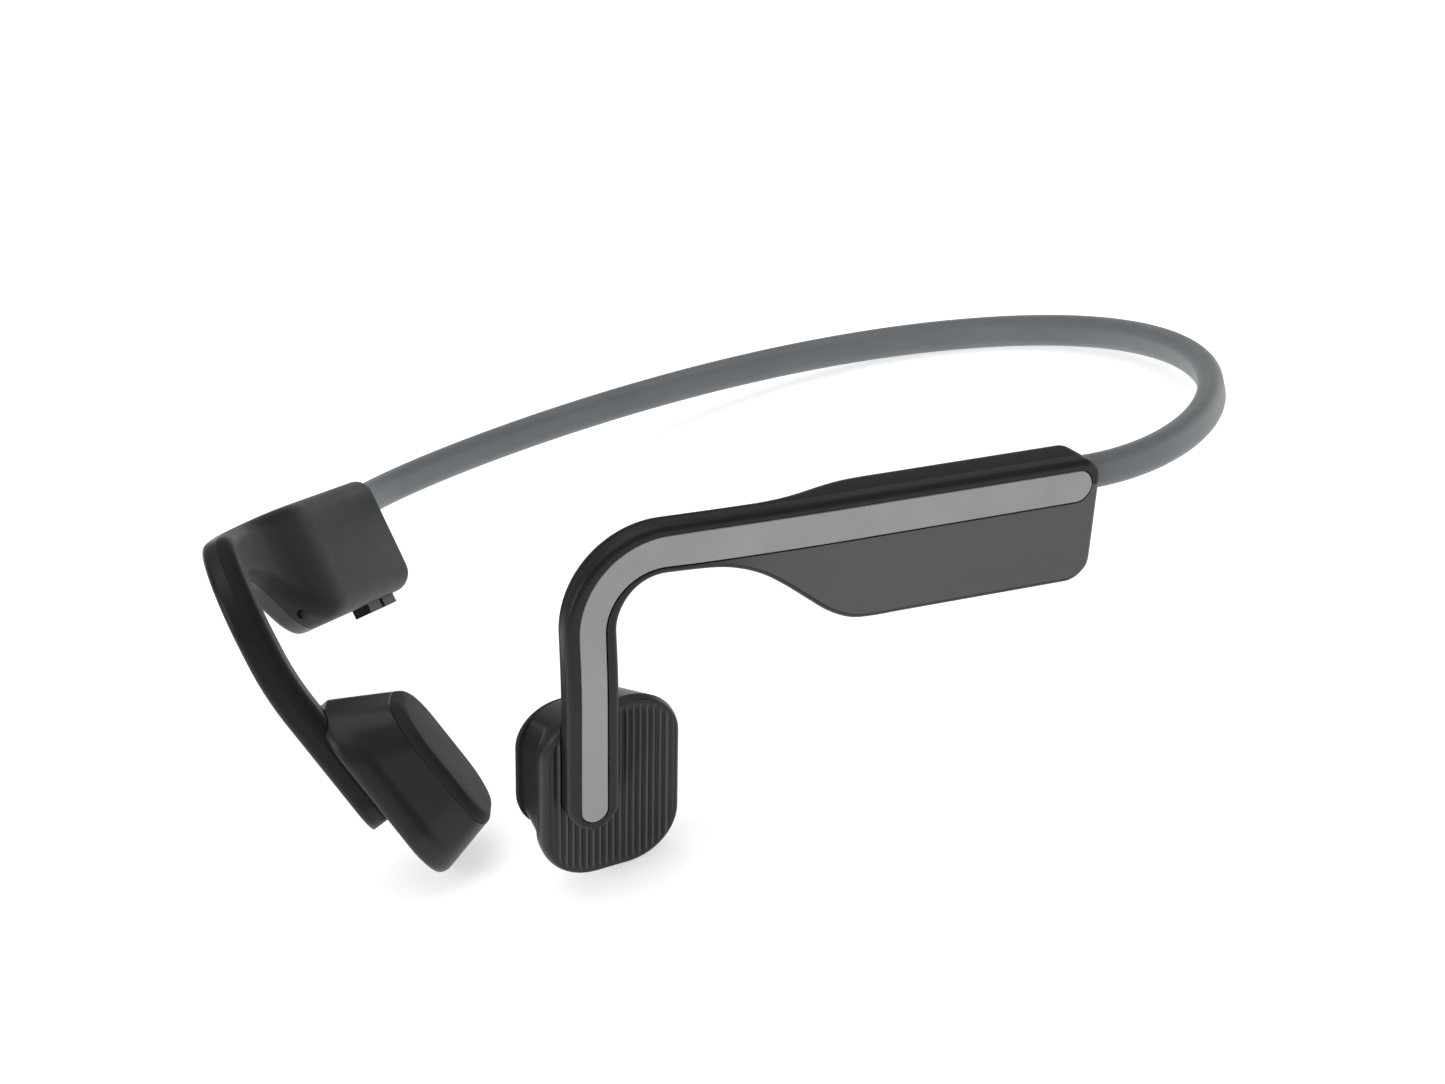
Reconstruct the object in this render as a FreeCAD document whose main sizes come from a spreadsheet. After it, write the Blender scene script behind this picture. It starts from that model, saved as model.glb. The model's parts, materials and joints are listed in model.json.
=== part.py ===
import FreeCAD, Part
import math
import os

import Sketcher
from FreeCAD import Matrix, Placement, Rotation, Vector

# Bone conduction headphones: two ear sides joined by a flexible neckband.
#
# The design is laid out as it is worn: +X to the wearer's left, +Y to the rear, +Z up, with the
# origin midway between the two places where the neckband enters the pods. The left side is drawn
# and the right side is its mirror image in X = 0. Every sub-part is then placed by REST, which
# tips the whole object to the way it lies on a table, on both transducers and the rear of the
# neckband, with the origin on the table under the middle of its bounding box.

DIMENSIONS = {
    # Resting pose on the table
    "rest_tilt": 23.69,
    "rest_back": -4.69,
    "rest_lift": 20.5,
    # Neckband, half of it as one Bezier curve from a pod to the rear
    "half_spacing": 60.0,
    "band_depth": 77.5,
    "band_rise": 14.1,
    "band_splay": 36.8,
    "band_slope": 1.1,
    "band_side_handle": 23.7,
    "band_rear_handle": 52.3,
    "band_tall": 4.4,
    "band_thick": 3.6,
    "band_radius": 1.4,
    "band_inserted": 1.4,
    "flex_place": 0.6,
    "wire_radius": 0.45,
    "wire_offset": 0.75,
    "wire_inserted": 6.0,
    "bore_gap": 0.05,
    # Pod: the flat housing behind the ear
    "pod_toe": 22.0,
    "pod_lean": 20.0,
    "pod_outward": 4.2,
    "pod_rear": 0.45,
    "pod_top": 3.5,
    "pod_bottom": 13.35,
    "pod_thick": 8.0,
    "pod_join": 35.0,
    "pod_corner_top": 2.6,
    "pod_corner_bottom": 3.6,
    "wall": 1.1,
    "split_depth": 2.4,
    "split_gap": 0.05,
    "outer_round": 0.7,
    "pod_inner_round": 2.4,
    # Hook: from the pod over the ear to the transducer
    "hook_half_tall": 3.4,
    "hook_thick": 5.0,
    "hook_inner_round": 1.9,
    "hook_toe": 34.7,
    "hook_lean": 20.4,
    "tail_lean": 31.6,
    "straight_end": 38.2,
    "bend_start": 65.4,
    "bend_radius": 9.7,
    "bend_turn": 93.5,
    "tail_turn": 95.5,
    "drop_one": 2.3,
    "drop_two": 9.0,
    "drop_three": 16.9,
    "tip_margin": 1.25,
    "stripe_half": 2.15,
    "stripe_half_low": 1.75,
    "stripe_thick": 0.5,
    "stripe_start": 3.6,
    "stripe_gap": 0.15,
    "bond_line": 0.03,
    "cable_radius": 0.6,
    "cable_gap": 0.1,
    "cable_leaves": 12.5,
    # Transducer
    "transducer_turn": -3.9,
    "transducer_back": 3.7,
    "transducer_up": 2.0,
    "transducer_sink": 3.2,
    "outer_wide": 19.3,
    "outer_tall": 27.8,
    "outer_corner": 7.5,
    "inner_wide": 17.3,
    "inner_tall": 19.0,
    "inner_corner": 6.0,
    "inner_forward": 0.65,
    "inner_down": 1.6,
    "transducer_thick": 10.6,
    "deck_depth": 1.45,
    "deck_thick": 1.05,
    "pad_thick": 1.6,
    "pad_round": 0.9,
    "cover_thick": 1.35,
    "button_thick": 1.0,
    "rim_round": 1.2,
    "plate_wide": 17.3,
    "plate_tall": 25.8,
    "plate_corner": 6.5,
    "plate_gap": 0.12,
    "rib_pitch": 0.92,
    "rib_groove": 0.4,
    "rib_depth": 0.3,
    "rib_count": 18,
    "fit_gap": 0.12,
    "yoke_radius": 6.0,
    "yoke_tall": 4.1,
    "yoke_floor": 0.8,
    "yoke_wall": 0.8,
    "magnet_radius": 4.2,
    "magnet_tall": 2.6,
    "pole_tall": 0.65,
    "coil_inner": 4.45,
    "coil_outer": 5.0,
    "coil_tall": 2.8,
    "spring_radius": 6.4,
    "spring_thick": 0.3,
    "boss_radius": 1.5,
    # Electronics, each long x tall x thick
    "anchor_long": 6.0,
    "anchor_tall": 4.6,
    "anchor_thick": 3.9,
    "battery_long": 24.0,
    "battery_tall": 12.0,
    "battery_thick": 4.6,
    "guard_long": 5.6,
    "guard_tall": 8.2,
    "guard_thick": 0.8,
    "board_long": 25.2,
    "board_tall": 13.2,
    "board_thick": 0.8,
    "shield_long": 10.5,
    "shield_tall": 5.8,
    "shield_thick": 1.4,
    "antenna_long": 20.0,
    "antenna_tall": 0.3,
    "antenna_thick": 3.0,
    "port_long": 9.0,
    "port_tall": 7.0,
    "port_thick": 3.2,
    "port_wall": 0.3,
    "flap_long": 9.8,
    "flap_thick": 0.6,
    "flap_deep": 2.9,
    "flap_plug_tall": 0.5,
    "flap_plug_gap": 0.1,
    "key_long": 5.8,
    "key_deep": 2.5,
    "key_proud": 1.3,
    "key_flange": 0.5,
    "key_lip": 0.4,
    "key_gap": 0.06,
    "switch_long": 3.6,
    "switch_tall": 1.2,
    "switch_thick": 1.7,
    "microphone_long": 2.6,
    "microphone_tall": 1.8,
    "microphone_thick": 0.9,
    "mesh_radius": 0.8,
    "mesh_thick": 0.2,
    "light_radius": 0.6,
    "dome_radius": 1.6,
    "dome_tall": 0.5,
    "nub_radius": 0.8,
    "nub_tall": 0.12,
}

document = FreeCAD.newDocument("bone_conduction_headphones")
sheet = document.addObject("Spreadsheet::Sheet", "Dimensions")
for row, (alias, number) in enumerate(DIMENSIONS.items(), start=1):
    sheet.set(f"A{row}", alias)
    sheet.set(f"B{row}", str(number))
    sheet.setAlias(f"B{row}", alias)
document.recompute()


def size(alias):
    """A driving dimension, read from the sheet."""
    return float(sheet.get(alias))


# Frames ------------------------------------------------------------------------------------

REST = Placement(Vector(0, size("rest_back"), size("rest_lift")),
                 Rotation(Vector(1, 0, 0), -size("rest_tilt")))
POD_MOUTH = Vector(size("half_spacing"), 0, 0)
STEP = 0.25


def side_axes(toe, lean):
    """Forward, outward and up directions of the left side, toed in and leaning in at the foot."""
    angle = math.radians(toe)
    forward = Vector(-math.sin(angle), -math.cos(angle), 0)
    outward = Vector(math.cos(angle), -math.sin(angle), 0)
    lean_in = Rotation(forward, -lean)
    return forward, lean_in.multVec(outward), lean_in.multVec(Vector(0, 0, 1))


def as_worn(origin, x_axis, y_axis, z_axis):
    """The placement of a local frame whose origin and axes are given as worn."""
    return Placement(Matrix(x_axis.x, y_axis.x, z_axis.x, origin.x,
                            x_axis.y, y_axis.y, z_axis.y, origin.y,
                            x_axis.z, y_axis.z, z_axis.z, origin.z,
                            0, 0, 0, 1))


def frame(origin, x_axis, y_axis, z_axis):
    """The same frame in the resting pose."""
    return REST.multiply(as_worn(origin, x_axis, y_axis, z_axis))


def blend(place, places, values):
    """Straight-line interpolation of values given at rising places."""
    for start, end, low, high in zip(places, places[1:], values, values[1:]):
        if place <= end:
            return low + (high - low) * (place - start) / (end - start)
    return values[-1]


forward, outward, up = side_axes(size("pod_toe"), size("pod_lean"))
pod_corner = POD_MOUTH + outward * size("pod_outward") + forward * size("pod_rear")
# Pod frame: x forward from the rear face, y up, z inward from the flat outer face.
POD = frame(pod_corner, forward, up, outward * -1)

bend_end = size("bend_start") + math.radians(size("bend_turn")) * size("bend_radius")
HOOK_PLACES = [0, size("straight_end"), size("bend_start"), bend_end,
               bend_end + size("drop_one"),
               bend_end + size("drop_one") + size("drop_two"),
               bend_end + size("drop_one") + size("drop_two") + size("drop_three")
               + size("tip_margin")]
HOOK_TOES = [size("pod_toe")] * 2 + [size("hook_toe")] * 5
HOOK_TURNS = [0, 0, 0, size("bend_turn"), size("bend_turn"), size("tail_turn"), size("tail_turn")]
HOOK_LEANS = [size("pod_lean")] * 3 + [size("hook_lean")] * 2 + [size("tail_lean")] * 2
HOOK_LENGTH = HOOK_PLACES[-1]


def hook_directions(place):
    """Travel direction and outward direction of the strip at a distance along it."""
    toe = blend(place, HOOK_PLACES, HOOK_TOES)
    lean = blend(place, HOOK_PLACES, HOOK_LEANS)
    turn = math.radians(blend(place, HOOK_PLACES, HOOK_TURNS))
    ahead, out, high = side_axes(toe, lean)
    return ahead * math.cos(turn) - high * math.sin(turn), out


def walk_hook():
    """Points of the strip's middle line on the outer face, every STEP from the pod's rear."""
    point = pod_corner + up * (size("pod_top") - size("hook_half_tall"))
    points = [point]
    for count in range(int(HOOK_LENGTH / STEP)):
        travel, _ = hook_directions((count + 0.5) * STEP)
        point = point + travel * STEP
        points.append(point)
    return points


HOOK_POINTS = walk_hook()


def hook_at(place):
    """Point, travel, outward and earward directions at a distance along the strip."""
    count = min(int(place / STEP), len(HOOK_POINTS) - 1)
    travel, out = hook_directions(place)
    point = HOOK_POINTS[count] + travel * (place - count * STEP)
    return point, travel, out, out.cross(travel)


tail_point, tail_travel, tail_out, tail_earward = hook_at(HOOK_LENGTH)
turned = Rotation(tail_travel, size("transducer_turn"))
face_out = turned.multVec(tail_out)
face_back = turned.multVec(tail_earward)
face_middle = (tail_point - tail_travel * (size("transducer_up") + size("tip_margin"))
               + tail_earward * size("transducer_back") - tail_out * size("transducer_sink"))
# Transducer frame: x forward, y up, z inward from the middle of the ribbed outer face.
TRANSDUCER = frame(face_middle, face_back * -1, tail_travel * -1, face_out * -1)


# The neckband's line -----------------------------------------------------------------------

splay = math.radians(size("band_splay"))
band_start = Vector(math.sin(splay), math.cos(splay), math.tan(math.radians(size("band_slope"))))
band_rear = Vector(0, size("band_depth"), size("band_rise"))
BAND_POLES = [POD_MOUTH,
              POD_MOUTH + band_start * size("band_side_handle"),
              band_rear + Vector(size("band_rear_handle"), 0, 0),
              band_rear]
BAND_UP = Vector(0, -size("band_rise"), size("band_depth")).normalize()
BAND_CUTS = 12


def band_at(share):
    """Point and travel direction on the left half, from the pod (0) to the rear (1)."""
    left = 1 - share
    weights = [left ** 3, 3 * left ** 2 * share, 3 * left * share ** 2, share ** 3]
    slopes = [-3 * left ** 2, 3 * left ** 2 - 6 * left * share,
              6 * left * share - 3 * share ** 2, 3 * share ** 2]
    point = Vector()
    travel = Vector()
    for pole, weight, slope in zip(BAND_POLES, weights, slopes):
        point += pole * weight
        travel += pole * slope
    return point, travel.normalize()


def mirrored(vector):
    return Vector(-vector.x, vector.y, vector.z)


def band_stations(inserted):
    """Point and travel along the whole band, each end running on into its pod."""
    _, travel = band_at(0)
    half = [(POD_MOUTH - travel * inserted, travel)]
    half += [band_at(cut / BAND_CUTS) for cut in range(BAND_CUTS + 1)]
    return half + [(mirrored(point), mirrored(travel) * -1) for point, travel in half[-2::-1]]


# Drawing helpers ---------------------------------------------------------------------------

def rounded_rectangle_wire(middle, across, along, wide, tall, radius):
    """A rounded rectangle in space, wide along `across` and tall along `along`."""
    edges = []
    corners = [(1, 1), (-1, 1), (-1, -1), (1, -1)]
    ends = []
    for side, level in corners:
        centre = (middle + across * (side * (wide / 2 - radius))
                  + along * (level * (tall / 2 - radius)))
        flat = centre + across * (side * radius)
        high = centre + along * (level * radius)
        crown = centre + (across * side + along * level) * (radius * math.sqrt(0.5))
        first, last = (flat, high) if side * level > 0 else (high, flat)
        ends.append((first, crown, last))
    for (first, crown, last), following in zip(ends, ends[1:] + ends[:1]):
        edges.append(Part.Arc(first, crown, last).toShape())
        edges.append(Part.LineSegment(last, following[0]).toShape())
    return Part.Wire(edges)


def strip_wire(place, top, foot, flat_depth, round_depth, radius):
    """A cross-section of the strip: square at flat_depth and rounded at round_depth."""
    point, _, out, earward = hook_at(place)
    inward = math.copysign(radius, round_depth - flat_depth)

    def spot(across, depth):
        return point + earward * across - out * depth

    bulge = radius * (1 - math.sqrt(0.5))
    edges = [
        Part.LineSegment(spot(-top, flat_depth), spot(foot, flat_depth)),
        Part.LineSegment(spot(foot, flat_depth), spot(foot, round_depth - inward)),
        Part.Arc(spot(foot, round_depth - inward),
                 spot(foot - bulge, round_depth - math.copysign(bulge, inward)),
                 spot(foot - radius, round_depth)),
        Part.LineSegment(spot(foot - radius, round_depth), spot(radius - top, round_depth)),
        Part.Arc(spot(radius - top, round_depth),
                 spot(bulge - top, round_depth - math.copysign(bulge, inward)),
                 spot(-top, round_depth - inward)),
        Part.LineSegment(spot(-top, round_depth - inward), spot(-top, flat_depth)),
    ]
    return Part.Wire([edge.toShape() for edge in edges])


def rounded_path(points):
    """Straight runs through the points, with each corner an arc as large as the runs allow."""
    edges = []
    start = points[0]
    for before, corner, after in zip(points, points[1:], points[2:]):
        arriving = (corner - before).normalize()
        leaving = (after - corner).normalize()
        half_turn = arriving.getAngle(leaving) / 2
        setback = 0.45 * min(corner.distanceToPoint(before), corner.distanceToPoint(after))
        radius = setback / math.tan(half_turn)
        inner = (leaving - arriving).normalize()
        enter = corner - arriving * setback
        leave = corner + leaving * setback
        crown = corner + inner * (radius / math.cos(half_turn) - radius)
        edges.append(Part.LineSegment(start, enter).toShape())
        edges.append(Part.Arc(enter, crown, leave).toShape())
        start = leave
    edges.append(Part.LineSegment(start, points[-1]).toShape())
    return Part.Wire(edges)


def tube_shape(points, radius):
    """A round tube along the rounded path through the points."""
    path = rounded_path(points)
    travel = (points[1] - points[0]).normalize()
    section = Part.Wire(Part.Circle(points[0], travel, radius).toShape())
    return path.makePipeShell([section], True, False)


def add_shape(name, shape):
    """A sub-part or cutter whose shape is worked out here, as worn, and laid down by REST."""
    feature = document.addObject("Part::Feature", name)
    feature.Shape = shape
    feature.Placement = REST
    return feature


def add_loft(name, wires):
    return add_shape(name, Part.makeLoft(wires, True, False))


def add_box(name, where, corner, kind=None, lengths=None):
    """A block in a local frame, sized by the sheet's long, tall and thick cells of its kind."""
    feature = document.addObject("Part::Box", name)
    aliases = lengths or [f"{kind}_long", f"{kind}_tall", f"{kind}_thick"]
    for cell, alias in zip(("Length", "Width", "Height"), aliases):
        feature.setExpression(cell, f"Dimensions.{alias}" if alias in DIMENSIONS else alias)
    feature.Placement = where.multiply(Placement(Vector(*corner), Rotation()))
    return feature


def add_disc(name, where, base, radius, tall, turn=None):
    """A cylinder standing on base along its local z, or along turn's z."""
    feature = document.addObject("Part::Cylinder", name)
    feature.setExpression("Radius", radius)
    feature.setExpression("Height", tall)
    feature.Placement = where.multiply(Placement(Vector(*base), turn or Rotation()))
    return feature


def add_cut(name, base, *tools):
    """Base less its tools, one cut after another."""
    for number, tool in enumerate(tools, start=1):
        label = name if number == len(tools) else f"{name}_cut_{number}"
        cut = document.addObject("Part::Cut", label)
        cut.Base = base
        cut.Tool = tool
        base = cut
    return base


def add_fuse(name, *pieces):
    fuse = document.addObject("Part::MultiFuse", name)
    fuse.Shapes = list(pieces)
    fuse.Refine = True
    return fuse


def add_mirror(name, source):
    mirror = document.addObject("Part::Mirroring", name)
    mirror.Source = source
    mirror.Base = Vector(0, 0, 0)
    mirror.Normal = Vector(1, 0, 0)
    return mirror


def add_body(name, where):
    body = document.addObject("PartDesign::Body", name)
    body.Placement = where
    return body


def add_sketch(body, name, lift=0.0):
    """A sketch on the body's own XY plane, raised along its z."""
    sketch = body.newObject("Sketcher::SketchObject", name)
    plane = next(item for item in body.Origin.OriginFeatures if item.Role == "XY_Plane")
    sketch.AttachmentSupport = [(plane, "")]
    sketch.MapMode = "FlatFace"
    sketch.AttachmentOffset = Placement(Vector(0, 0, lift), Rotation())
    return sketch


def add_pad(body, name, sketch, length):
    pad = body.newObject("PartDesign::Pad", name)
    pad.Profile = sketch
    pad.setExpression("Length", length)
    sketch.Visibility = False
    document.recompute()
    return pad


def bind(sketch, constraint, expression):
    number = sketch.addConstraint(constraint)
    sketch.setExpression(f"Constraints[{number}]", expression)


def draw_rounded_rectangle(sketch, wide, tall, corner):
    """A rounded rectangle about the sketch's origin, bound to three cells."""
    half_wide, half_tall, radius = size(wide) / 2, size(tall) / 2, size(corner)
    flat_x, flat_y = half_wide - radius, half_tall - radius
    ends = [((-flat_x, half_tall), (flat_x, half_tall)),
            ((half_wide, flat_y), (half_wide, -flat_y)),
            ((flat_x, -half_tall), (-flat_x, -half_tall)),
            ((-half_wide, -flat_y), (-half_wide, flat_y))]
    for start, end in ends:
        sketch.addGeometry(Part.LineSegment(Vector(*start, 0), Vector(*end, 0)))
    centres = [(flat_x, flat_y, 0), (flat_x, -flat_y, 270), (-flat_x, -flat_y, 180),
               (-flat_x, flat_y, 90)]
    for x, y, start in centres:
        circle = Part.Circle(Vector(x, y, 0), Vector(0, 0, 1), radius)
        sketch.addGeometry(Part.ArcOfCircle(circle, math.radians(start),
                                            math.radians(start + 90)))
    for line, arc in enumerate((4, 5, 6, 7)):
        following = (line + 1) % 4
        sketch.addConstraint(Sketcher.Constraint("Tangent", line, 2, arc, 2))
        sketch.addConstraint(Sketcher.Constraint("Tangent", arc, 1, following, 1))
    for first, second in ((4, 5), (5, 6), (6, 7)):
        sketch.addConstraint(Sketcher.Constraint("Equal", first, second))
    sketch.addConstraint(Sketcher.Constraint("Horizontal", 0))
    sketch.addConstraint(Sketcher.Constraint("Vertical", 1))
    sketch.addConstraint(Sketcher.Constraint("Symmetric", 0, 1, 2, 1, -1, 1))
    bind(sketch, Sketcher.Constraint("Radius", 4, radius), f"Dimensions.{corner}")
    bind(sketch, Sketcher.Constraint("DistanceX", 3, 1, 1, 1, 2 * half_wide),
         f"Dimensions.{wide}")
    bind(sketch, Sketcher.Constraint("DistanceY", 2, 1, 0, 1, 2 * half_tall),
         f"Dimensions.{tall}")


def draw_block(sketch, left, foot, wide, tall):
    """A plain rectangle with its corner at (left, foot), bound to expressions."""
    corner = [Vector(left[0], foot[0], 0), Vector(left[0] + wide[0], foot[0], 0),
              Vector(left[0] + wide[0], foot[0] + tall[0], 0),
              Vector(left[0], foot[0] + tall[0], 0)]
    for start, end in zip(corner, corner[1:] + corner[:1]):
        sketch.addGeometry(Part.LineSegment(start, end))
    for line in range(4):
        sketch.addConstraint(Sketcher.Constraint("Coincident", line, 2, (line + 1) % 4, 1))
    for line, kind in enumerate(("Horizontal", "Vertical", "Horizontal", "Vertical")):
        sketch.addConstraint(Sketcher.Constraint(kind, line))
    bind(sketch, Sketcher.Constraint("DistanceX", -1, 1, 0, 1, left[0]), left[1])
    bind(sketch, Sketcher.Constraint("DistanceY", -1, 1, 0, 1, foot[0]), foot[1])
    bind(sketch, Sketcher.Constraint("DistanceX", 0, 1, 0, 2, wide[0]), wide[1])
    bind(sketch, Sketcher.Constraint("DistanceY", 1, 1, 1, 2, tall[0]), tall[1])


def edges_at(shape, axis, level, skip_axis=None, skip_level=None):
    """Names of edges that lie at one level of an axis, less those at a level of another."""
    names = []
    for number, edge in enumerate(shape.Edges, start=1):
        low = getattr(edge.BoundBox, f"{axis}Min")
        high = getattr(edge.BoundBox, f"{axis}Max")
        if abs(low - level) > 1e-4 or abs(high - level) > 1e-4:
            continue
        if skip_axis:
            skip_low = getattr(edge.BoundBox, f"{skip_axis}Min")
            if abs(skip_low - skip_level) < 1e-4:
                continue
        names.append(f"Edge{number}")
    return names


def add_fillet(body, name, base, edge_names, radius):
    fillet = body.newObject("PartDesign::Fillet", name)
    fillet.Base = (base, edge_names)
    fillet.setExpression("Radius", radius)
    document.recompute()
    return fillet


# Neckband ----------------------------------------------------------------------------------

def band_sections(inserted, growth=0.0):
    """Cross-sections of the silicone band, enlarged by growth on every side."""
    wires = []
    for point, travel in band_stations(inserted):
        across = travel.cross(BAND_UP).normalize()
        along = across.cross(travel).normalize()
        wires.append(rounded_rectangle_wire(point, across, along,
                                            size("band_thick") + 2 * growth,
                                            size("band_tall") + 2 * growth,
                                            size("band_radius") + growth))
    return wires


def band_line(inserted, lift):
    """Points of a line inside the band, a little above or below its middle."""
    points = []
    for point, travel in band_stations(inserted):
        across = travel.cross(BAND_UP).normalize()
        points.append(point + across.cross(travel).normalize() * lift)
    return points


def build_neckband():
    """The wire and the cable, and the sleeve bored for both."""
    wire_points = band_line(size("wire_inserted"), size("wire_offset"))
    cable_points = band_line(size("wire_inserted"), -size("wire_offset"))
    bore_radius = size("wire_radius") + size("bore_gap")
    wire = add_shape("neckband_wire", tube_shape(wire_points, size("wire_radius")))
    cable = add_shape("neckband_cable", tube_shape(cable_points, size("wire_radius")))
    wire_bore = add_shape("wire_bore", tube_shape(wire_points, bore_radius))
    cable_bore = add_shape("cable_bore", tube_shape(cable_points, bore_radius))
    solid = add_loft("sleeve_solid", band_sections(size("band_inserted")))
    sleeve = add_cut("neckband_sleeve", solid, wire_bore, cable_bore)
    return sleeve, wire, cable, wire_bore, cable_bore


# Shells ------------------------------------------------------------------------------------

HOOK_CUTS = [35, 38, 41.5, 45, 48.5, 52, 56, 60, 65.4, 69.4, 73.4, 77.4, 81.2, 85, 89, 93, 97, 101,
             104.5, 108, HOOK_LENGTH]
STRIPE_CUTS = [8, 15, 22, 29] + HOOK_CUTS[:-2]
STRIPE_TAPER = [0, 60, 81.2, HOOK_LENGTH]
FOOT_PLACES = [35, 38, 41.5, 45, 48.5, 52, 56, 60, 69.4, 77.4, HOOK_LENGTH]
FOOT_DROPS = [13.45, 13.1, 11.7, 9.5, 7.2, 5.2, 3.8, 3.25, 3.1, 3.3, 3.4]
THICK_PLACES = [35, 38, 41.5, 45, 48.5, 56, HOOK_LENGTH]
THICK_SHARES = [1, 0.93, 0.7, 0.4, 0.17, 0, 0]


def strip_foot(place):
    return blend(place, FOOT_PLACES, FOOT_DROPS)


def strip_bulge(place):
    """How much of the pod's extra thickness is left at a place along the strip."""
    return blend(place, THICK_PLACES, THICK_SHARES)


def strip_thick(place):
    return size("hook_thick") + (size("pod_thick") - size("hook_thick")) * strip_bulge(place)


def strip_inner_round(place):
    extra = size("pod_inner_round") - size("hook_inner_round")
    return size("hook_inner_round") + extra * strip_bulge(place)


def draw_pod_outline(sketch):
    """The pod's side view: square at the front, where the hook goes on, rounded at the rear."""
    join, top, foot = size("pod_join"), size("pod_top"), -size("pod_bottom")
    high, low = size("pod_corner_top"), size("pod_corner_bottom")
    lines = [((join, top), (high, top)), ((0, top - high), (0, foot + low)),
             ((low, foot), (join, foot)), ((join, foot), (join, top))]
    for start, end in lines:
        sketch.addGeometry(Part.LineSegment(Vector(*start, 0), Vector(*end, 0)))
    upper = Part.Circle(Vector(high, top - high, 0), Vector(0, 0, 1), high)
    lower = Part.Circle(Vector(low, foot + low, 0), Vector(0, 0, 1), low)
    sketch.addGeometry(Part.ArcOfCircle(upper, math.pi / 2, math.pi))
    sketch.addGeometry(Part.ArcOfCircle(lower, math.pi, 1.5 * math.pi))
    for first, first_end, second, second_end in ((0, 2, 4, 1), (4, 2, 1, 1),
                                                 (1, 2, 5, 1), (5, 2, 2, 1)):
        sketch.addConstraint(
            Sketcher.Constraint("Tangent", first, first_end, second, second_end))
    sketch.addConstraint(Sketcher.Constraint("Coincident", 2, 2, 3, 1))
    sketch.addConstraint(Sketcher.Constraint("Coincident", 3, 2, 0, 1))
    for line, kind in ((0, "Horizontal"), (1, "Vertical"), (2, "Horizontal"), (3, "Vertical")):
        sketch.addConstraint(Sketcher.Constraint(kind, line))
    sketch.addConstraint(Sketcher.Constraint("PointOnObject", 1, 1, -2))
    bind(sketch, Sketcher.Constraint("Radius", 4, high), "Dimensions.pod_corner_top")
    bind(sketch, Sketcher.Constraint("Radius", 5, low), "Dimensions.pod_corner_bottom")
    bind(sketch, Sketcher.Constraint("DistanceX", -1, 1, 3, 1, join), "Dimensions.pod_join")
    bind(sketch, Sketcher.Constraint("DistanceY", -1, 1, 3, 2, top), "Dimensions.pod_top")
    bind(sketch, Sketcher.Constraint("DistanceY", 3, 1, -1, 1, -foot), "Dimensions.pod_bottom")


def build_pod_half(name, lift, depth, round_level, radius):
    """One half of the pod, padded inward, with its outside edges rounded."""
    body = add_body(name, POD)
    sketch = add_sketch(body, f"{name}_outline", lift)
    draw_pod_outline(sketch)
    pad = add_pad(body, f"{name}_pad", sketch, depth)
    rim = edges_at(pad.Shape, "Z", round_level, "X", size("pod_join"))
    add_fillet(body, f"{name}_rim", pad, rim, radius)
    return body


def build_shell_solids():
    """The outer and inner halves of pod and hook, before anything is hollowed out."""
    split = size("split_depth")
    inner_start = split + size("split_gap")
    top = size("hook_half_tall")
    outer_pod = build_pod_half("outer_pod", 0.0, "Dimensions.split_depth", 0.0,
                               "Dimensions.outer_round")
    inner_pod = build_pod_half(
        "inner_pod", inner_start,
        "Dimensions.pod_thick - Dimensions.split_depth - Dimensions.split_gap",
        size("pod_thick"), "Dimensions.pod_inner_round")
    outer_hook = add_loft("outer_hook", [
        strip_wire(place, top, strip_foot(place), split, 0.0, size("outer_round"))
        for place in HOOK_CUTS])
    inner_hook = add_loft("inner_hook", [
        strip_wire(place, top, strip_foot(place), inner_start, strip_thick(place),
                   strip_inner_round(place))
        for place in HOOK_CUTS])
    return (add_fuse("outer_solid", outer_pod, outer_hook),
            add_fuse("inner_solid", inner_pod, inner_hook))


def end_cutter(place, radius, way):
    """What rounds a strip's square end: a block less the half round that stays."""
    point, travel, out, _ = hook_at(place)
    ahead = travel * way
    reach = 2 * size("pod_thick")
    where = as_worn(point + out * (reach / 2), ahead, ahead.cross(out), out * -1)
    block = Part.makeBox(2 * radius, 3 * radius, reach, Vector(0, -1.5 * radius, 0))
    cutter = block.cut(Part.makeCylinder(radius, reach))
    return cutter.transformGeometry(where.toMatrix())


def stripe_shape(growth, depth, above=0.0):
    """A round-ended strip let into the outer face, from above the face to a depth."""
    wide, narrow = size("stripe_half"), size("stripe_half_low")
    start = size("stripe_start")
    end = HOOK_LENGTH - size("tip_margin") - narrow
    first, last = start - wide - growth, end + narrow + growth
    places = [first] + [place for place in STRIPE_CUTS if first < place < last] + [last]
    sections = []
    for place in places:
        point, _, out, earward = hook_at(place)
        half_wide = blend(place, STRIPE_TAPER, [wide, wide, narrow, narrow]) + growth
        sections.append(Part.makePolygon([point + earward * across - out * level
                                          for across, level in ((-half_wide, -above),
                                                                (half_wide, -above),
                                                                (half_wide, depth),
                                                                (-half_wide, depth),
                                                                (-half_wide, -above))]))
    strip = Part.makeLoft(sections, True, False)
    return strip.cut([end_cutter(start, wide + growth, -1), end_cutter(end, narrow + growth, 1)])


def build_stripe():
    """The light inlay that runs the length of the strip, and its groove."""
    thick = size("stripe_thick")
    inlay = add_shape("left_stripe_inlay", stripe_shape(0.0, thick))
    groove = add_shape("stripe_groove", stripe_shape(size("stripe_gap"),
                                                     thick + size("bond_line"), above=0.5))
    return inlay, groove


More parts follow.
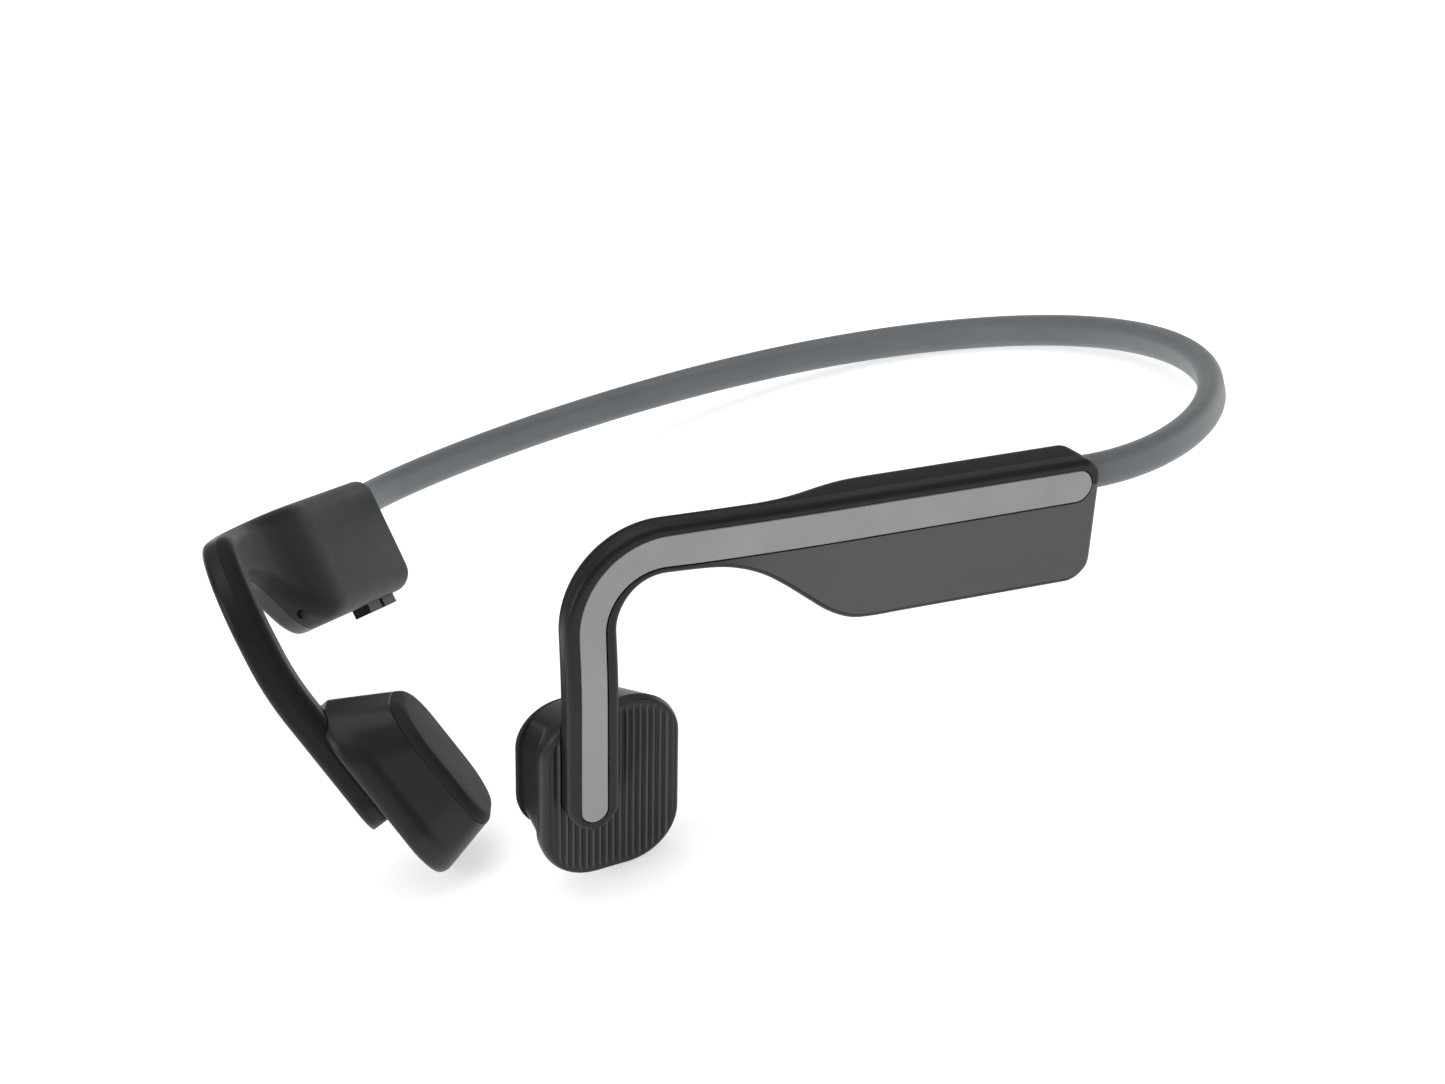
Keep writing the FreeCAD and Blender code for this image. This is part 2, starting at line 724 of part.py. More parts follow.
def hook_cable_points():
    """The signal cable's route: along the parting plane, then down into the transducer."""
    middle = size("split_depth") + size("split_gap") / 2
    leaves = HOOK_LENGTH - size("cable_leaves")
    places = [size("pod_join") - size("wall") - 0.1, 44, 54, 63, 69.4, 74.5, 80, 88, leaves]
    points = []
    for place in places:
        point, _, out, _ = hook_at(place)
        points.append(point - out * middle)
    point, travel, out, _ = hook_at(leaves)
    points.append(point + travel * 2.0 - out * (middle + 1.3))
    points.append(point + travel * 2.2 - out * (middle + 4.6))
    return points


def build_shells(sleeve_ends, hook_channel, groove):
    """The two shells of a side, hollow where the electronics sit."""
    outer_solid, inner_solid = build_shell_solids()
    wall = "Dimensions.wall"
    cavity = add_box("pod_cavity", POD, (size("wall"), size("wall") - size("pod_bottom"),
                                         size("wall")),
                     lengths=[f"Dimensions.pod_join - 2 * {wall}",
                              f"Dimensions.pod_top + Dimensions.pod_bottom - 2 * {wall}",
                              f"Dimensions.pod_thick - 2 * {wall}"])
    tip = add_shape("tip_cutter", end_cutter(HOOK_LENGTH - size("hook_half_tall"),
                                             size("hook_half_tall"), 1))
    outer = add_cut("outer_shell", outer_solid, groove, hook_channel, cavity, sleeve_ends, tip)
    inner = add_cut("inner_shell", inner_solid, cavity, sleeve_ends, hook_channel, tip)
    return outer, inner


# Transducer --------------------------------------------------------------------------------

def transducer_wire(depth, inset=0.0):
    """The transducer's outline at a depth, between its outer and its inner face."""
    share = depth / size("transducer_thick")
    across, along, inward = (Vector(1, 0, 0), Vector(0, 1, 0), Vector(0, 0, 1))

    def between(outer, inner):
        return outer + (inner - outer) * share

    middle = (across * (size("inner_forward") * share) - along * (size("inner_down") * share)
              + inward * depth)
    return rounded_rectangle_wire(
        middle, across, along,
        between(size("outer_wide"), size("inner_wide")) - 2 * inset,
        between(size("outer_tall"), size("inner_tall")) - 2 * inset,
        between(size("outer_corner"), size("inner_corner")) - inset)


def add_transducer_shape(name, shape):
    feature = document.addObject("Part::Feature", name)
    feature.Shape = shape
    feature.Placement = TRANSDUCER
    return feature


def build_housing(hook_clearance, hook_channel):
    """The transducer's cup: a rim round the ribbed plate, a deck under it and drafted walls."""
    deck, floor = size("deck_depth"), size("deck_depth") + size("deck_thick")
    mouth = size("transducer_thick") - size("pad_thick") - size("split_gap")
    solid = Part.makeLoft([transducer_wire(0.0), transducer_wire(mouth)], True, True)
    rim = [edge for edge in solid.Edges if abs(edge.BoundBox.ZMax) < 1e-4]
    hollow = Part.makeLoft([transducer_wire(floor, size("wall")),
                            transducer_wire(mouth + 0.5, size("wall"))], True, True)
    gap = size("plate_gap")
    seat_wire = rounded_rectangle_wire(Vector(0, 0, -1), Vector(1, 0, 0), Vector(0, 1, 0),
                                       size("plate_wide") + 2 * gap,
                                       size("plate_tall") + 2 * gap, size("plate_corner") + gap)
    seat = Part.Face(seat_wire).extrude(Vector(0, 0, deck + 1))
    cup = solid.makeFillet(size("rim_round"), rim).cut([hollow, seat])
    return add_cut("transducer_housing", add_transducer_shape("housing_cup", cup),
                   hook_clearance, hook_channel)


def build_contact_pad():
    """The soft plate that rests on the wearer's cheekbone."""
    thick = size("transducer_thick")
    solid = Part.makeLoft([transducer_wire(thick - size("pad_thick")),
                           transducer_wire(thick)], True, True)
    rim = [edge for edge in solid.Edges
           if abs(edge.BoundBox.ZMin - thick) < 1e-4 and abs(edge.BoundBox.ZMax - thick) < 1e-4]
    return add_transducer_shape("left_contact_pad", solid.makeFillet(size("pad_round"), rim))


def build_ribbed_plate(name, thick):
    """The outer face of a transducer: a rounded plate with upright grooves between its ribs."""
    body = add_body(name, TRANSDUCER)
    sketch = add_sketch(body, f"{name}_outline")
    draw_rounded_rectangle(sketch, "plate_wide", "plate_tall", "plate_corner")
    pad = add_pad(body, f"{name}_pad", sketch, f"Dimensions.{thick}")
    rim = edges_at(pad.Shape, "Z", 0.0)
    add_fillet(body, f"{name}_rim", pad, rim, "Dimensions.rib_depth")
    grooves = add_sketch(body, f"{name}_groove")
    reach = size("rib_pitch") * (size("rib_count") - 1) / 2
    draw_block(grooves,
               (-reach - size("rib_groove") / 2,
                "-(Dimensions.rib_pitch * (Dimensions.rib_count - 1) + Dimensions.rib_groove) / 2"),
               (-size("plate_tall") * 0.6, "-0.6 * Dimensions.plate_tall"),
               (size("rib_groove"), "Dimensions.rib_groove"),
               (size("plate_tall") * 1.2, "1.2 * Dimensions.plate_tall"))
    pocket = body.newObject("PartDesign::Pocket", f"{name}_first_groove")
    pocket.Profile = grooves
    pocket.setExpression("Length", "Dimensions.rib_depth")
    pocket.Reversed = True
    document.recompute()
    pattern = body.newObject("PartDesign::LinearPattern", f"{name}_grooves")
    pattern.Originals = [pocket]
    x_axis = next(item for item in body.Origin.OriginFeatures if item.Role == "X_Axis")
    pattern.Direction = (x_axis, [""])
    pattern.setExpression("Length", "Dimensions.rib_pitch * (Dimensions.rib_count - 1)")
    pattern.setExpression("Occurrences", "Dimensions.rib_count")
    body.Tip = pattern
    document.recompute()
    return body


def build_yoke(name):
    """The steel cup that carries the magnet: a floor and a ring, turned in one piece."""
    body = add_body(name, TRANSDUCER.multiply(Placement(motor_base(), Rotation())))
    sketch = add_sketch(body, f"{name}_floor_outline")
    sketch.addGeometry(Part.Circle(Vector(0, 0, 0), Vector(0, 0, 1), size("yoke_radius")))
    sketch.addConstraint(Sketcher.Constraint("Coincident", 0, 3, -1, 1))
    bind(sketch, Sketcher.Constraint("Radius", 0, size("yoke_radius")), "Dimensions.yoke_radius")
    add_pad(body, f"{name}_cup", sketch, "Dimensions.yoke_tall")
    hollow = add_sketch(body, f"{name}_hollow_outline", size("yoke_tall"))
    inner = size("yoke_radius") - size("yoke_wall")
    hollow.addGeometry(Part.Circle(Vector(0, 0, 0), Vector(0, 0, 1), inner))
    hollow.addConstraint(Sketcher.Constraint("Coincident", 0, 3, -1, 1))
    bind(hollow, Sketcher.Constraint("Radius", 0, inner),
         "Dimensions.yoke_radius - Dimensions.yoke_wall")
    pocket = body.newObject("PartDesign::Pocket", f"{name}_hollow")
    pocket.Profile = hollow
    pocket.setExpression("Length", "Dimensions.yoke_tall - Dimensions.yoke_floor")
    document.recompute()
    return body


def motor_base():
    """Where the motor stands on the deck, in the transducer frame."""
    return Vector(size("inner_forward") / 2, -size("inner_down") / 2,
                  size("deck_depth") + size("deck_thick"))


def build_motor():
    """Yoke, magnet, pole plate, coil and spring, on one axis from the deck to the pad."""
    base = motor_base()

    def level(height):
        return (base.x, base.y, base.z + height)

    magnet_top = size("yoke_floor") + size("magnet_tall")
    pole_top = magnet_top + size("pole_tall")
    coil_base = pole_top + 0.2 - size("coil_tall")
    spring_base = pole_top + 0.2
    boss_tall = size("transducer_thick") - size("pad_thick") - base.z - spring_base
    pieces = {
        "yoke": build_yoke("left_yoke"),
        "magnet": add_disc("left_magnet", TRANSDUCER, level(size("yoke_floor")),
                           "Dimensions.magnet_radius", "Dimensions.magnet_tall"),
        "pole_plate": add_disc("left_pole_plate", TRANSDUCER, level(magnet_top),
                               "Dimensions.magnet_radius", "Dimensions.pole_tall"),
    }
    ring = add_disc("coil_ring", TRANSDUCER, level(coil_base), "Dimensions.coil_outer",
                    "Dimensions.coil_tall")
    bore = add_disc("coil_bore", TRANSDUCER, level(coil_base - 0.5), "Dimensions.coil_inner",
                    "Dimensions.coil_tall + 1")
    pieces["voice_coil"] = add_cut("left_voice_coil", ring, bore)
    plate = add_disc("spring_disc", TRANSDUCER, level(spring_base), "Dimensions.spring_radius",
                     "Dimensions.spring_thick")
    boss = add_disc("spring_boss", TRANSDUCER, level(spring_base), "Dimensions.boss_radius",
                    str(boss_tall))
    pieces["spring_plate"] = add_fuse("left_spring_plate", plate, boss)
    return pieces


# Pod contents ------------------------------------------------------------------------------

SIDEWAYS_UP = Rotation(Vector(1, 0, 0), -90)
POD_FLOOR = -size("pod_bottom") + size("wall")
KEY_MIDDLE = 3.95
KEY_STARTS = {"volume_down_button": 4.9, "volume_up_button": 12.1}
PORT_START = 21.0
BOARD_DEPTH = 1.3


def build_anchor(wire_bore, cable_bore):
    """The block that grips the neckband's wire inside the pod."""
    block = add_box("anchor_block", POD, (2.0, -size("anchor_tall") / 2, 2.9), "anchor")
    return add_cut("left_wire_anchor", block, wire_bore, cable_bore)


def build_left_contents():
    """Battery and its protection board."""
    battery = add_box("left_battery", POD, (8.6, POD_FLOOR + 1.0, 1.6), "battery")
    guard = add_box("left_battery_board", POD, (2.2, POD_FLOOR + 0.6, 3.0), "guard")
    return {"left_battery": battery, "left_battery_board": guard}


def build_key(name, start):
    """A volume key: a cap through the wall and a flange that keeps it in."""
    body = add_body(name, POD.multiply(Placement(Vector(start, POD_FLOOR, KEY_MIDDLE),
                                                 SIDEWAYS_UP)))
    cap = add_sketch(body, f"{name}_cap_outline", -size("wall") - size("key_proud"))
    draw_block(cap, (0.0, "0"), (-size("key_deep") / 2, "-Dimensions.key_deep / 2"),
               (size("key_long"), "Dimensions.key_long"),
               (size("key_deep"), "Dimensions.key_deep"))
    add_pad(body, f"{name}_cap", cap, "Dimensions.wall + Dimensions.key_proud + 0.2")
    flange = add_sketch(body, f"{name}_flange_outline", 0.05)
    lip = "Dimensions.key_lip"
    draw_block(flange, (-size("key_lip"), f"-{lip}"),
               (-size("key_deep") / 2 - 0.15, "-Dimensions.key_deep / 2 - 0.15"),
               (size("key_long") + 2 * size("key_lip"), f"Dimensions.key_long + 2 * {lip}"),
               (size("key_deep") + 0.3, "Dimensions.key_deep + 0.3"))
    add_pad(body, f"{name}_flange", flange, "Dimensions.key_flange")
    return body


def build_key_holes():
    """The slots that the volume keys pass through."""
    gap = size("key_gap")
    return [add_box(f"{name}_slot", POD,
                    (start - gap, -size("pod_bottom") - 1, KEY_MIDDLE - size("key_deep") / 2 - gap),
                    lengths=["Dimensions.key_long + 2 * Dimensions.key_gap",
                             "Dimensions.wall + 2",
                             "Dimensions.key_deep + 2 * Dimensions.key_gap"])
            for name, start in KEY_STARTS.items()]


def build_switches():
    """The two push switches behind the volume keys, as one group."""
    boxes = []
    for name, start in KEY_STARTS.items():
        corner = (start + (size("key_long") - size("switch_long")) / 2, POD_FLOOR + 0.95,
                  BOARD_DEPTH + size("board_thick") + 0.8)
        boxes.append(add_box(f"{name}_switch", POD, corner, "switch"))
    group = document.addObject("Part::Compound", "right_volume_switches")
    group.Links = boxes
    return group


def build_port():
    """The charging socket: a metal shell with a tongue, open at the pod's underside."""
    depth = BOARD_DEPTH + size("board_thick") + 0.05
    can = add_box("port_can", POD, (PORT_START, POD_FLOOR + 0.1, depth), "port")
    wall = "Dimensions.port_wall"
    mouth = add_box("port_mouth", POD,
                    (PORT_START + size("port_wall"), POD_FLOOR - 1, depth + size("port_wall")),
                    lengths=[f"Dimensions.port_long - 2 * {wall}",
                             "Dimensions.port_tall - 1",
                             f"Dimensions.port_thick - 2 * {wall}"])
    tongue = add_box("port_tongue", POD,
                     (PORT_START + 1.2, POD_FLOOR + 1.4, depth + size("port_thick") / 2 - 0.35),
                     lengths=["Dimensions.port_long - 2.4", "Dimensions.port_tall - 2", "0.7"])
    return add_fuse("right_usb_port", add_cut("port_shell", can, mouth), tongue)


def flap_axis():
    """The flap's hinge line: a point on it, in the pod frame."""
    return Vector(PORT_START + size("port_long") / 2 + size("flap_long") / 2,
                  -size("pod_bottom") + size("flap_thick") / 2, 2.55)


def build_flap():
    """The rubber door over the charging socket, with a rounded hinge end and a plug."""
    axis = flap_axis()
    start = axis.x - size("flap_long")
    leaf = add_box("flap_leaf", POD, (start, -size("pod_bottom"), axis.z),
                   lengths=["Dimensions.flap_long", "Dimensions.flap_thick",
                            "Dimensions.flap_deep"])
    knuckle = add_disc("flap_knuckle", POD, (axis.x, axis.y, axis.z),
                       "Dimensions.flap_thick / 2", "Dimensions.flap_deep")
    plug = add_box("flap_plug", POD,
                   (PORT_START + 0.6, size("flap_thick") - size("pod_bottom") - 0.1, 2.8),
                   lengths=["Dimensions.port_long - 1.2",
                            "Dimensions.flap_plug_tall + 0.1", "2.2"])
    return add_fuse("right_usb_cover", leaf, knuckle, plug)


def build_port_holes():
    """The flap's recess in the underside and the socket's mouth in its floor."""
    axis = flap_axis()
    gap = size("flap_plug_gap")
    recess = add_box("flap_recess", POD,
                     (axis.x - size("flap_long") - gap, -size("pod_bottom") - 1,
                      axis.z - size("split_gap")),
                     lengths=["Dimensions.flap_long + Dimensions.flap_thick / 2 "
                              "+ 2 * Dimensions.flap_plug_gap",
                              "1 + Dimensions.flap_thick + 0.03",
                              "Dimensions.flap_deep + 2 * Dimensions.split_gap"])
    mouth = add_box("socket_mouth", POD,
                    (PORT_START + 0.45, -size("pod_bottom"), 2.65),
                    lengths=["Dimensions.port_long - 0.9", "Dimensions.wall + 0.3", "2.5"])
    return [recess, mouth]


def build_microphone():
    """The microphone in the pod's lower front corner, its port and the port's mesh."""
    corner = (31.1, POD_FLOOR + 0.3, 3.6)
    body = add_box("right_microphone", POD, corner, "microphone")
    turn = Rotation(Vector(0, 1, 0), 90)
    middle = (corner[1] + size("microphone_tall") / 2, corner[2] + size("microphone_thick") / 2)
    mesh = add_disc("right_microphone_mesh", POD, (41.3, middle[0], middle[1]),
                    "Dimensions.mesh_radius", "Dimensions.mesh_thick", turn)
    port = add_disc("microphone_port", POD, (33.0, middle[0], middle[1]), "0.5", "14", turn)
    seat = add_disc("mesh_seat", POD, (41.25, middle[0], middle[1]),
                    "Dimensions.mesh_radius + 0.05", "4", turn)
    return body, mesh, [port, seat]


def build_right_contents():
    """Board, radio shield, antenna and indicator lens, with the lens's hole."""
    depth = BOARD_DEPTH
    face = depth + size("board_thick") + 0.05
    board = add_box("right_main_board", POD, (8.4, POD_FLOOR + 1.0, depth), "board")
    shield = add_box("right_radio_shield", POD, (21.5, -4.6, face), "shield")
    antenna = add_box("right_antenna", POD, (9.5, size("pod_top") - size("wall") - 0.35, 2.6),
                      "antenna")
    lens = add_disc("right_status_light_lens", POD, (19.3, -size("pod_bottom"), KEY_MIDDLE),
                    "Dimensions.light_radius", "Dimensions.wall + 0.2", SIDEWAYS_UP)
    hole = add_disc("lens_hole", POD, (19.3, -size("pod_bottom") - 1, KEY_MIDDLE),
                    "Dimensions.light_radius + 0.03", "Dimensions.wall + 2", SIDEWAYS_UP)
    contents = {"right_main_board": board, "right_radio_shield": shield,
                "right_antenna": antenna, "right_status_light_lens": lens}
    return contents, hole


# Assembly ----------------------------------------------------------------------------------

def build_function_button(hook_clearance):
    """The left ribbed face, which is pressed as a key, and the dome switch under it."""
    plate = build_ribbed_plate("button_plate", "button_thick")
    nub = add_disc("button_nub", TRANSDUCER, (0, -8.0, size("button_thick") - 0.05),
                   "Dimensions.nub_radius", "Dimensions.nub_tall + 0.05")
    whole = add_fuse("button_whole", plate, nub)
    button = add_cut("left_function_button", whole, hook_clearance)
    seat_depth = size("deck_depth") + 0.05
    switch = add_disc("left_function_switch", TRANSDUCER, (0, -8.0, seat_depth),
                      "Dimensions.dome_radius", "Dimensions.dome_tall")
    seat = add_disc("switch_seat", TRANSDUCER, (0, -8.0, seat_depth - 0.5),
                    "Dimensions.dome_radius + 0.05", "Dimensions.dome_tall + 0.5")
    return button, switch, seat


def build_all():
    """Every sub-part by node name: the neckband, the left side and the mirrored right side."""
    sleeve, wire, cable, wire_bore, cable_bore = build_neckband()
    _, travel = band_at(0)
    across = travel.cross(BAND_UP).normalize()
    along = across.cross(travel).normalize()
    grown = [rounded_rectangle_wire(POD_MOUTH + travel * reach, across, along,
                                    size("band_thick") + 0.2, size("band_tall") + 0.2,
                                    size("band_radius") + 0.1)
             for reach in (-3.0, 3.0)]
    sleeve_ends = add_loft("sleeve_socket", grown)

    channel_radius = size("cable_radius") + size("cable_gap")
    cable_points = hook_cable_points()
    hook_cable = add_shape("left_hook_cable", tube_shape(cable_points, size("cable_radius")))
    channel = add_shape("hook_channel", tube_shape(cable_points, channel_radius))
    inlay, groove = build_stripe()
    outer, inner = build_shells(sleeve_ends, channel, groove)

    gap = size("fit_gap")
    clearance = add_loft("hook_clearance", [
        strip_wire(place, size("hook_half_tall") + gap, size("hook_half_tall") + gap, -1.0,
                   size("hook_thick") + gap, size("hook_inner_round"))
        for place in HOOK_CUTS[11:-1] + [HOOK_LENGTH + gap]])
    housing = build_housing(clearance, channel)
    pieces = {"neckband_sleeve": sleeve, "neckband_wire": wire, "neckband_cable": cable}

    both = {"hook_cable": hook_cable, "stripe_inlay": inlay, "contact_pad": build_contact_pad(),
            "wire_anchor": build_anchor(wire_bore, cable_bore)}
    both.update(build_motor())
    for name, feature in both.items():
        pieces[f"left_{name}"] = feature
        pieces[f"right_{name}"] = add_mirror(f"right_{name}", feature)

    button, switch, switch_seat = build_function_button(clearance)
    pieces["left_function_button"] = button
    pieces["left_function_switch"] = switch
    pieces["left_transducer_housing"] = add_cut("left_transducer_housing", housing, switch_seat)
    pieces["right_transducer_housing"] = add_mirror("right_transducer_housing", housing)
    cover = add_cut("ribbed_cover", build_ribbed_plate("cover_plate", "cover_thick"), clearance)
    pieces["right_ribbed_cover"] = add_mirror("right_ribbed_cover", cover)

    pieces["left_outer_shell"] = outer
    pieces["left_inner_shell"] = inner
    pieces.update(build_left_contents())

    contents, lens_hole = build_right_contents()
    microphone, mesh, microphone_holes = build_microphone()
    drilled = add_cut("drilled_inner_shell", inner, lens_hole, *build_key_holes(),
                      *build_port_holes(), *microphone_holes)
    contents.update({
        "right_outer_shell": outer,
        "right_inner_shell": drilled,
        "right_volume_switches": build_switches(),
        "right_usb_port": build_port(),
        "right_usb_cover": build_flap(),
        "right_microphone": microphone,
        "right_microphone_mesh": mesh,
    })
    for name, start in KEY_STARTS.items():
        contents[f"right_{name}"] = build_key(f"right_{name}_left_hand", start)
    for name, feature in contents.items():
        pieces[name] = add_mirror(f"{name}_mirrored", feature)
    return pieces


def label_pieces(pieces):
    """Give each sub-part the name that its file takes."""
    for name, feature in pieces.items():
        if feature.Label != name:
            clash = document.getObjectsByLabel(name)
            for other in clash:
                other.Label = f"{name}_source"
            feature.Label = name


def check_pieces(pieces):
    """Stop on any failed object and on any sub-part that is empty or not valid."""
    for item in document.Objects:
        if "Invalid" in item.State or "Error" in item.State:
            raise RuntimeError(f"{item.Name} failed: {item.State}")
    for name, feature in pieces.items():
        if feature.Shape.isNull() or not feature.Shape.isValid() or not feature.Shape.Solids:
            raise RuntimeError(f"{name} has no valid shape")


def report(label, vector):
    print(f"{label}: {vector.x:.2f}, {vector.y:.2f}, {vector.z:.2f}")


def main():
    pieces = build_all()
    document.recompute()
    label_pieces(pieces)
    check_pieces(pieces)
    os.makedirs("parts", exist_ok=True)
    whole = None
    for name, feature in sorted(pieces.items()):
        feature.Shape.exportStep(f"parts/{name}.step")
        box = feature.Shape.optimalBoundingBox(False)
        whole = box if whole is None else whole.united(box)
        print(f"{name}: {len(feature.Shape.Solids)} solid, {feature.Shape.Volume:.1f} mm3, "
              f"lowest {box.ZMin:.2f}")
    print(f"x {whole.XMin:.2f} to {whole.XMax:.2f}, y {whole.YMin:.2f} to {whole.YMax:.2f}, "
          f"z {whole.ZMin:.2f} to {whole.ZMax:.2f}")
    pivot, _ = band_at(size("flex_place"))
    report("left flex pivot", REST.multVec(pivot))
    report("flex axis x100", REST.Rotation.multVec(BAND_UP * 100))
    report("pod forward x100", POD.Rotation.multVec(Vector(100, 0, 0)))
    report("pod up x100", POD.Rotation.multVec(Vector(0, 100, 0)))
    report("pod inward x100", POD.Rotation.multVec(Vector(0, 0, 100)))
    report("flap hinge", POD.multVec(flap_axis()))
    report("transducer inward x100", TRANSDUCER.Rotation.multVec(Vector(0, 0, 100)))
    report("transducer up x100", TRANSDUCER.Rotation.multVec(Vector(0, 100, 0)))
    report("pad middle", TRANSDUCER.multVec(Vector(size("inner_forward"), -size("inner_down"),
                                                   size("transducer_thick"))))


main()
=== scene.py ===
import json
import math

import bmesh
import bpy
from mathutils import Matrix, Vector


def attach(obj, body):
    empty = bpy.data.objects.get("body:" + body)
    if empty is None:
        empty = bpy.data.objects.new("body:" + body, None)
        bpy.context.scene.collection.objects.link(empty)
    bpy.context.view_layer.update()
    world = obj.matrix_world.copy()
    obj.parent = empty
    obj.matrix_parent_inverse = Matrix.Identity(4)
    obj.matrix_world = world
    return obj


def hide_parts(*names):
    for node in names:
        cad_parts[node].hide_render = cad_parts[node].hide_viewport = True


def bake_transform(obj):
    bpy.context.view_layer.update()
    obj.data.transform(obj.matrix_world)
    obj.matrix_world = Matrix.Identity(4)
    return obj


# Looks for a pair of bone conduction headphones lying on a pale table.
#
# Lengths in the named values are millimetres, as the headphones are worn: +X to the wearer's left,
# +Y to the rear, +Z up. to_row() lays a point down the way the object rests, in metres.

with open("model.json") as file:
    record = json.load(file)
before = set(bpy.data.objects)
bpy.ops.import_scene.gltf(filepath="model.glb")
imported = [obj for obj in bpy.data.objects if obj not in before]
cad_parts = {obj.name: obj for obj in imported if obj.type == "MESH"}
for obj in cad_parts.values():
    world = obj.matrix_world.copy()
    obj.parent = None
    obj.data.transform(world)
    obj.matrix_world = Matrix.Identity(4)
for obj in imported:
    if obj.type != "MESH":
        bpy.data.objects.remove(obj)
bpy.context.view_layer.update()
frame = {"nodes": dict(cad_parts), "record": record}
nodes = frame["nodes"]

MM = 0.001
REST_TILT = 23.69
REST_BACK = -4.69
REST_LIFT = 20.5

# Neckband
HALF_SPACING = 60.0
BAND_DEPTH = 77.5
BAND_RISE = 14.1
BAND_SPLAY = 36.8
BAND_SLOPE = 1.1
BAND_SIDE_HANDLE = 23.7
BAND_REAR_HANDLE = 52.3
BAND_TALL = 4.4
BAND_THICK = 3.6
BAND_CORNER = 1.4
BAND_INSERTED = 1.4
WIRE_RADIUS = 0.45
WIRE_OFFSET = 0.75
WIRE_INSERTED = 6.0

# Pod, behind the ear
POD_TOE = 22.0
POD_LEAN = 20.0
POD_OUTWARD = 4.2
POD_REAR = 0.45
POD_TOP = 3.5
POD_BOTTOM = 13.35
POD_THICK = 8.0
POD_CORNER_TOP = 2.6
POD_CORNER_BOTTOM = 3.6
WALL = 1.1
SPLIT = 2.4
SPLIT_GAP = 0.02
SPLIT_BEVEL = 0.02
POD_INNER_ROUND = 2.4

# Hook, over the ear to the transducer
HOOK_HALF = 3.4
HOOK_THICK = 4.5
HOOK_INNER_ROUND = 1.9
HOOK_TOE = 34.7
HOOK_LEAN = 20.4
TAIL_LEAN = 31.6
STRAIGHT_END = 38.2
BEND_START = 65.4
BEND_RADIUS = 9.7
BEND_TURN = 93.5
TAIL_TURN = 95.5
DROPS = (2.3, 9.0, 16.9)
TIP_MARGIN = 1.25
EDGE_ROUND_TOP = 1.0
EDGE_ROUND_FOOT = 0.8
REAR_ROUND = 0.7
STRIPE_THICK = 0.45
STRIPE_GROOVE = 0.5
STRIPE_START = 3.6
STRIPE_GAP = 0.15
STEP = 0.25

# Transducer
TRANSDUCER_TURN = -3.9
TRANSDUCER_BACK = 3.7
TRANSDUCER_UP = 2.0
TRANSDUCER_SINK = 3.2
OUTER_FACE = (19.3, 27.8, 7.5)
INNER_FACE = (17.3, 19.0, 6.0)
INNER_FORWARD = 0.65
INNER_DOWN = 1.6
TRANSDUCER_THICK = 10.6
PAD_THICK = 1.6
PAD_ROUND = 0.9
RIM_DEPTH = 1.6
PLATE = (17.3, 25.8, 6.5)
PLATE_GAP = 0.05
PLATE_CROWN = 0.3
DECK_DEPTH = 1.45
RIB_PITCH = 0.92
RIB_TALL = 0.36
RIB_FADE = 1.6
COVER_THICK = 1.35
BUTTON_THICK = 1.0
CLEARANCE_START = 78.0
RING_STEP = 0.15
FIT_GAP = 0.12
SCOOP_DEPTH = 0.55

# Camera
TARGET = Vector((0.0021, -0.0070, 0.0136))
DISTANCE = 0.67716
AZIMUTH = 38.10
ELEVATION = 24.41
ROLL = -20.3
LENS = 123.6

rest = (Matrix.Scale(MM, 4) @ Matrix.Translation((0, REST_BACK, REST_LIFT))
        @ Matrix.Rotation(math.radians(-REST_TILT), 4, "X"))


def to_row(point, side=1):
    """A point given as worn, on the left side (1) or mirrored to the right (-1), at rest."""
    return rest @ Vector((point.x * side, point.y, point.z))


# Meshes ------------------------------------------------------------------------------------

def link_mesh(name, points, faces, material, crease=35.0):
    """An object of smooth faces that turn outward, sharp where they meet past the crease angle."""
    mesh = bpy.data.meshes.new(name)
    mesh.from_pydata(points, [], faces)
    turned = bmesh.new()
    turned.from_mesh(mesh)
    bmesh.ops.recalc_face_normals(turned, faces=turned.faces)
    turned.to_mesh(mesh)
    turned.free()
    mesh.polygons.foreach_set("use_smooth", [True] * len(mesh.polygons))
    mesh.set_sharp_from_angle(angle=math.radians(crease))
    mesh.materials.append(material)
    piece = bpy.data.objects.new(name, mesh)
    bpy.context.scene.collection.objects.link(piece)
    return piece


def sweep(name, rings, side, material, cap_first=True, cap_last=True):
    """A tube through equal rings of points."""
    count = len(rings[0])
    points = [to_row(point, side) for ring in rings for point in ring]
    faces = []
    for row in range(len(rings) - 1):
        for column in range(count):
            following = (column + 1) % count
            faces.append((row * count + column, row * count + following,
                          (row + 1) * count + following, (row + 1) * count + column))
    if cap_first:
        faces.append(tuple(range(count))[::-1])
    if cap_last:
        faces.append(tuple((len(rings) - 1) * count + column for column in range(count)))
    return link_mesh(name, points, faces, material)


def rounded_rectangle(wide, tall, corner, steps=7):
    """Points (across, along) round a rounded rectangle."""
    spots = []
    for quarter in range(4):
        middle_x = (wide / 2 - corner) * (1 if quarter in (0, 3) else -1)
        middle_y = (tall / 2 - corner) * (1 if quarter in (0, 1) else -1)
        for step in range(steps):
            angle = math.radians(90 * (quarter + step / (steps - 1)))
            spots.append((middle_x + corner * math.cos(angle),
                          middle_y + corner * math.sin(angle)))
    return spots


# Materials ---------------------------------------------------------------------------------

def add_node(tree, kind, **settings):
    node = tree.nodes.new(kind)
    for name, value in settings.items():
        setattr(node, name, value)
    return node


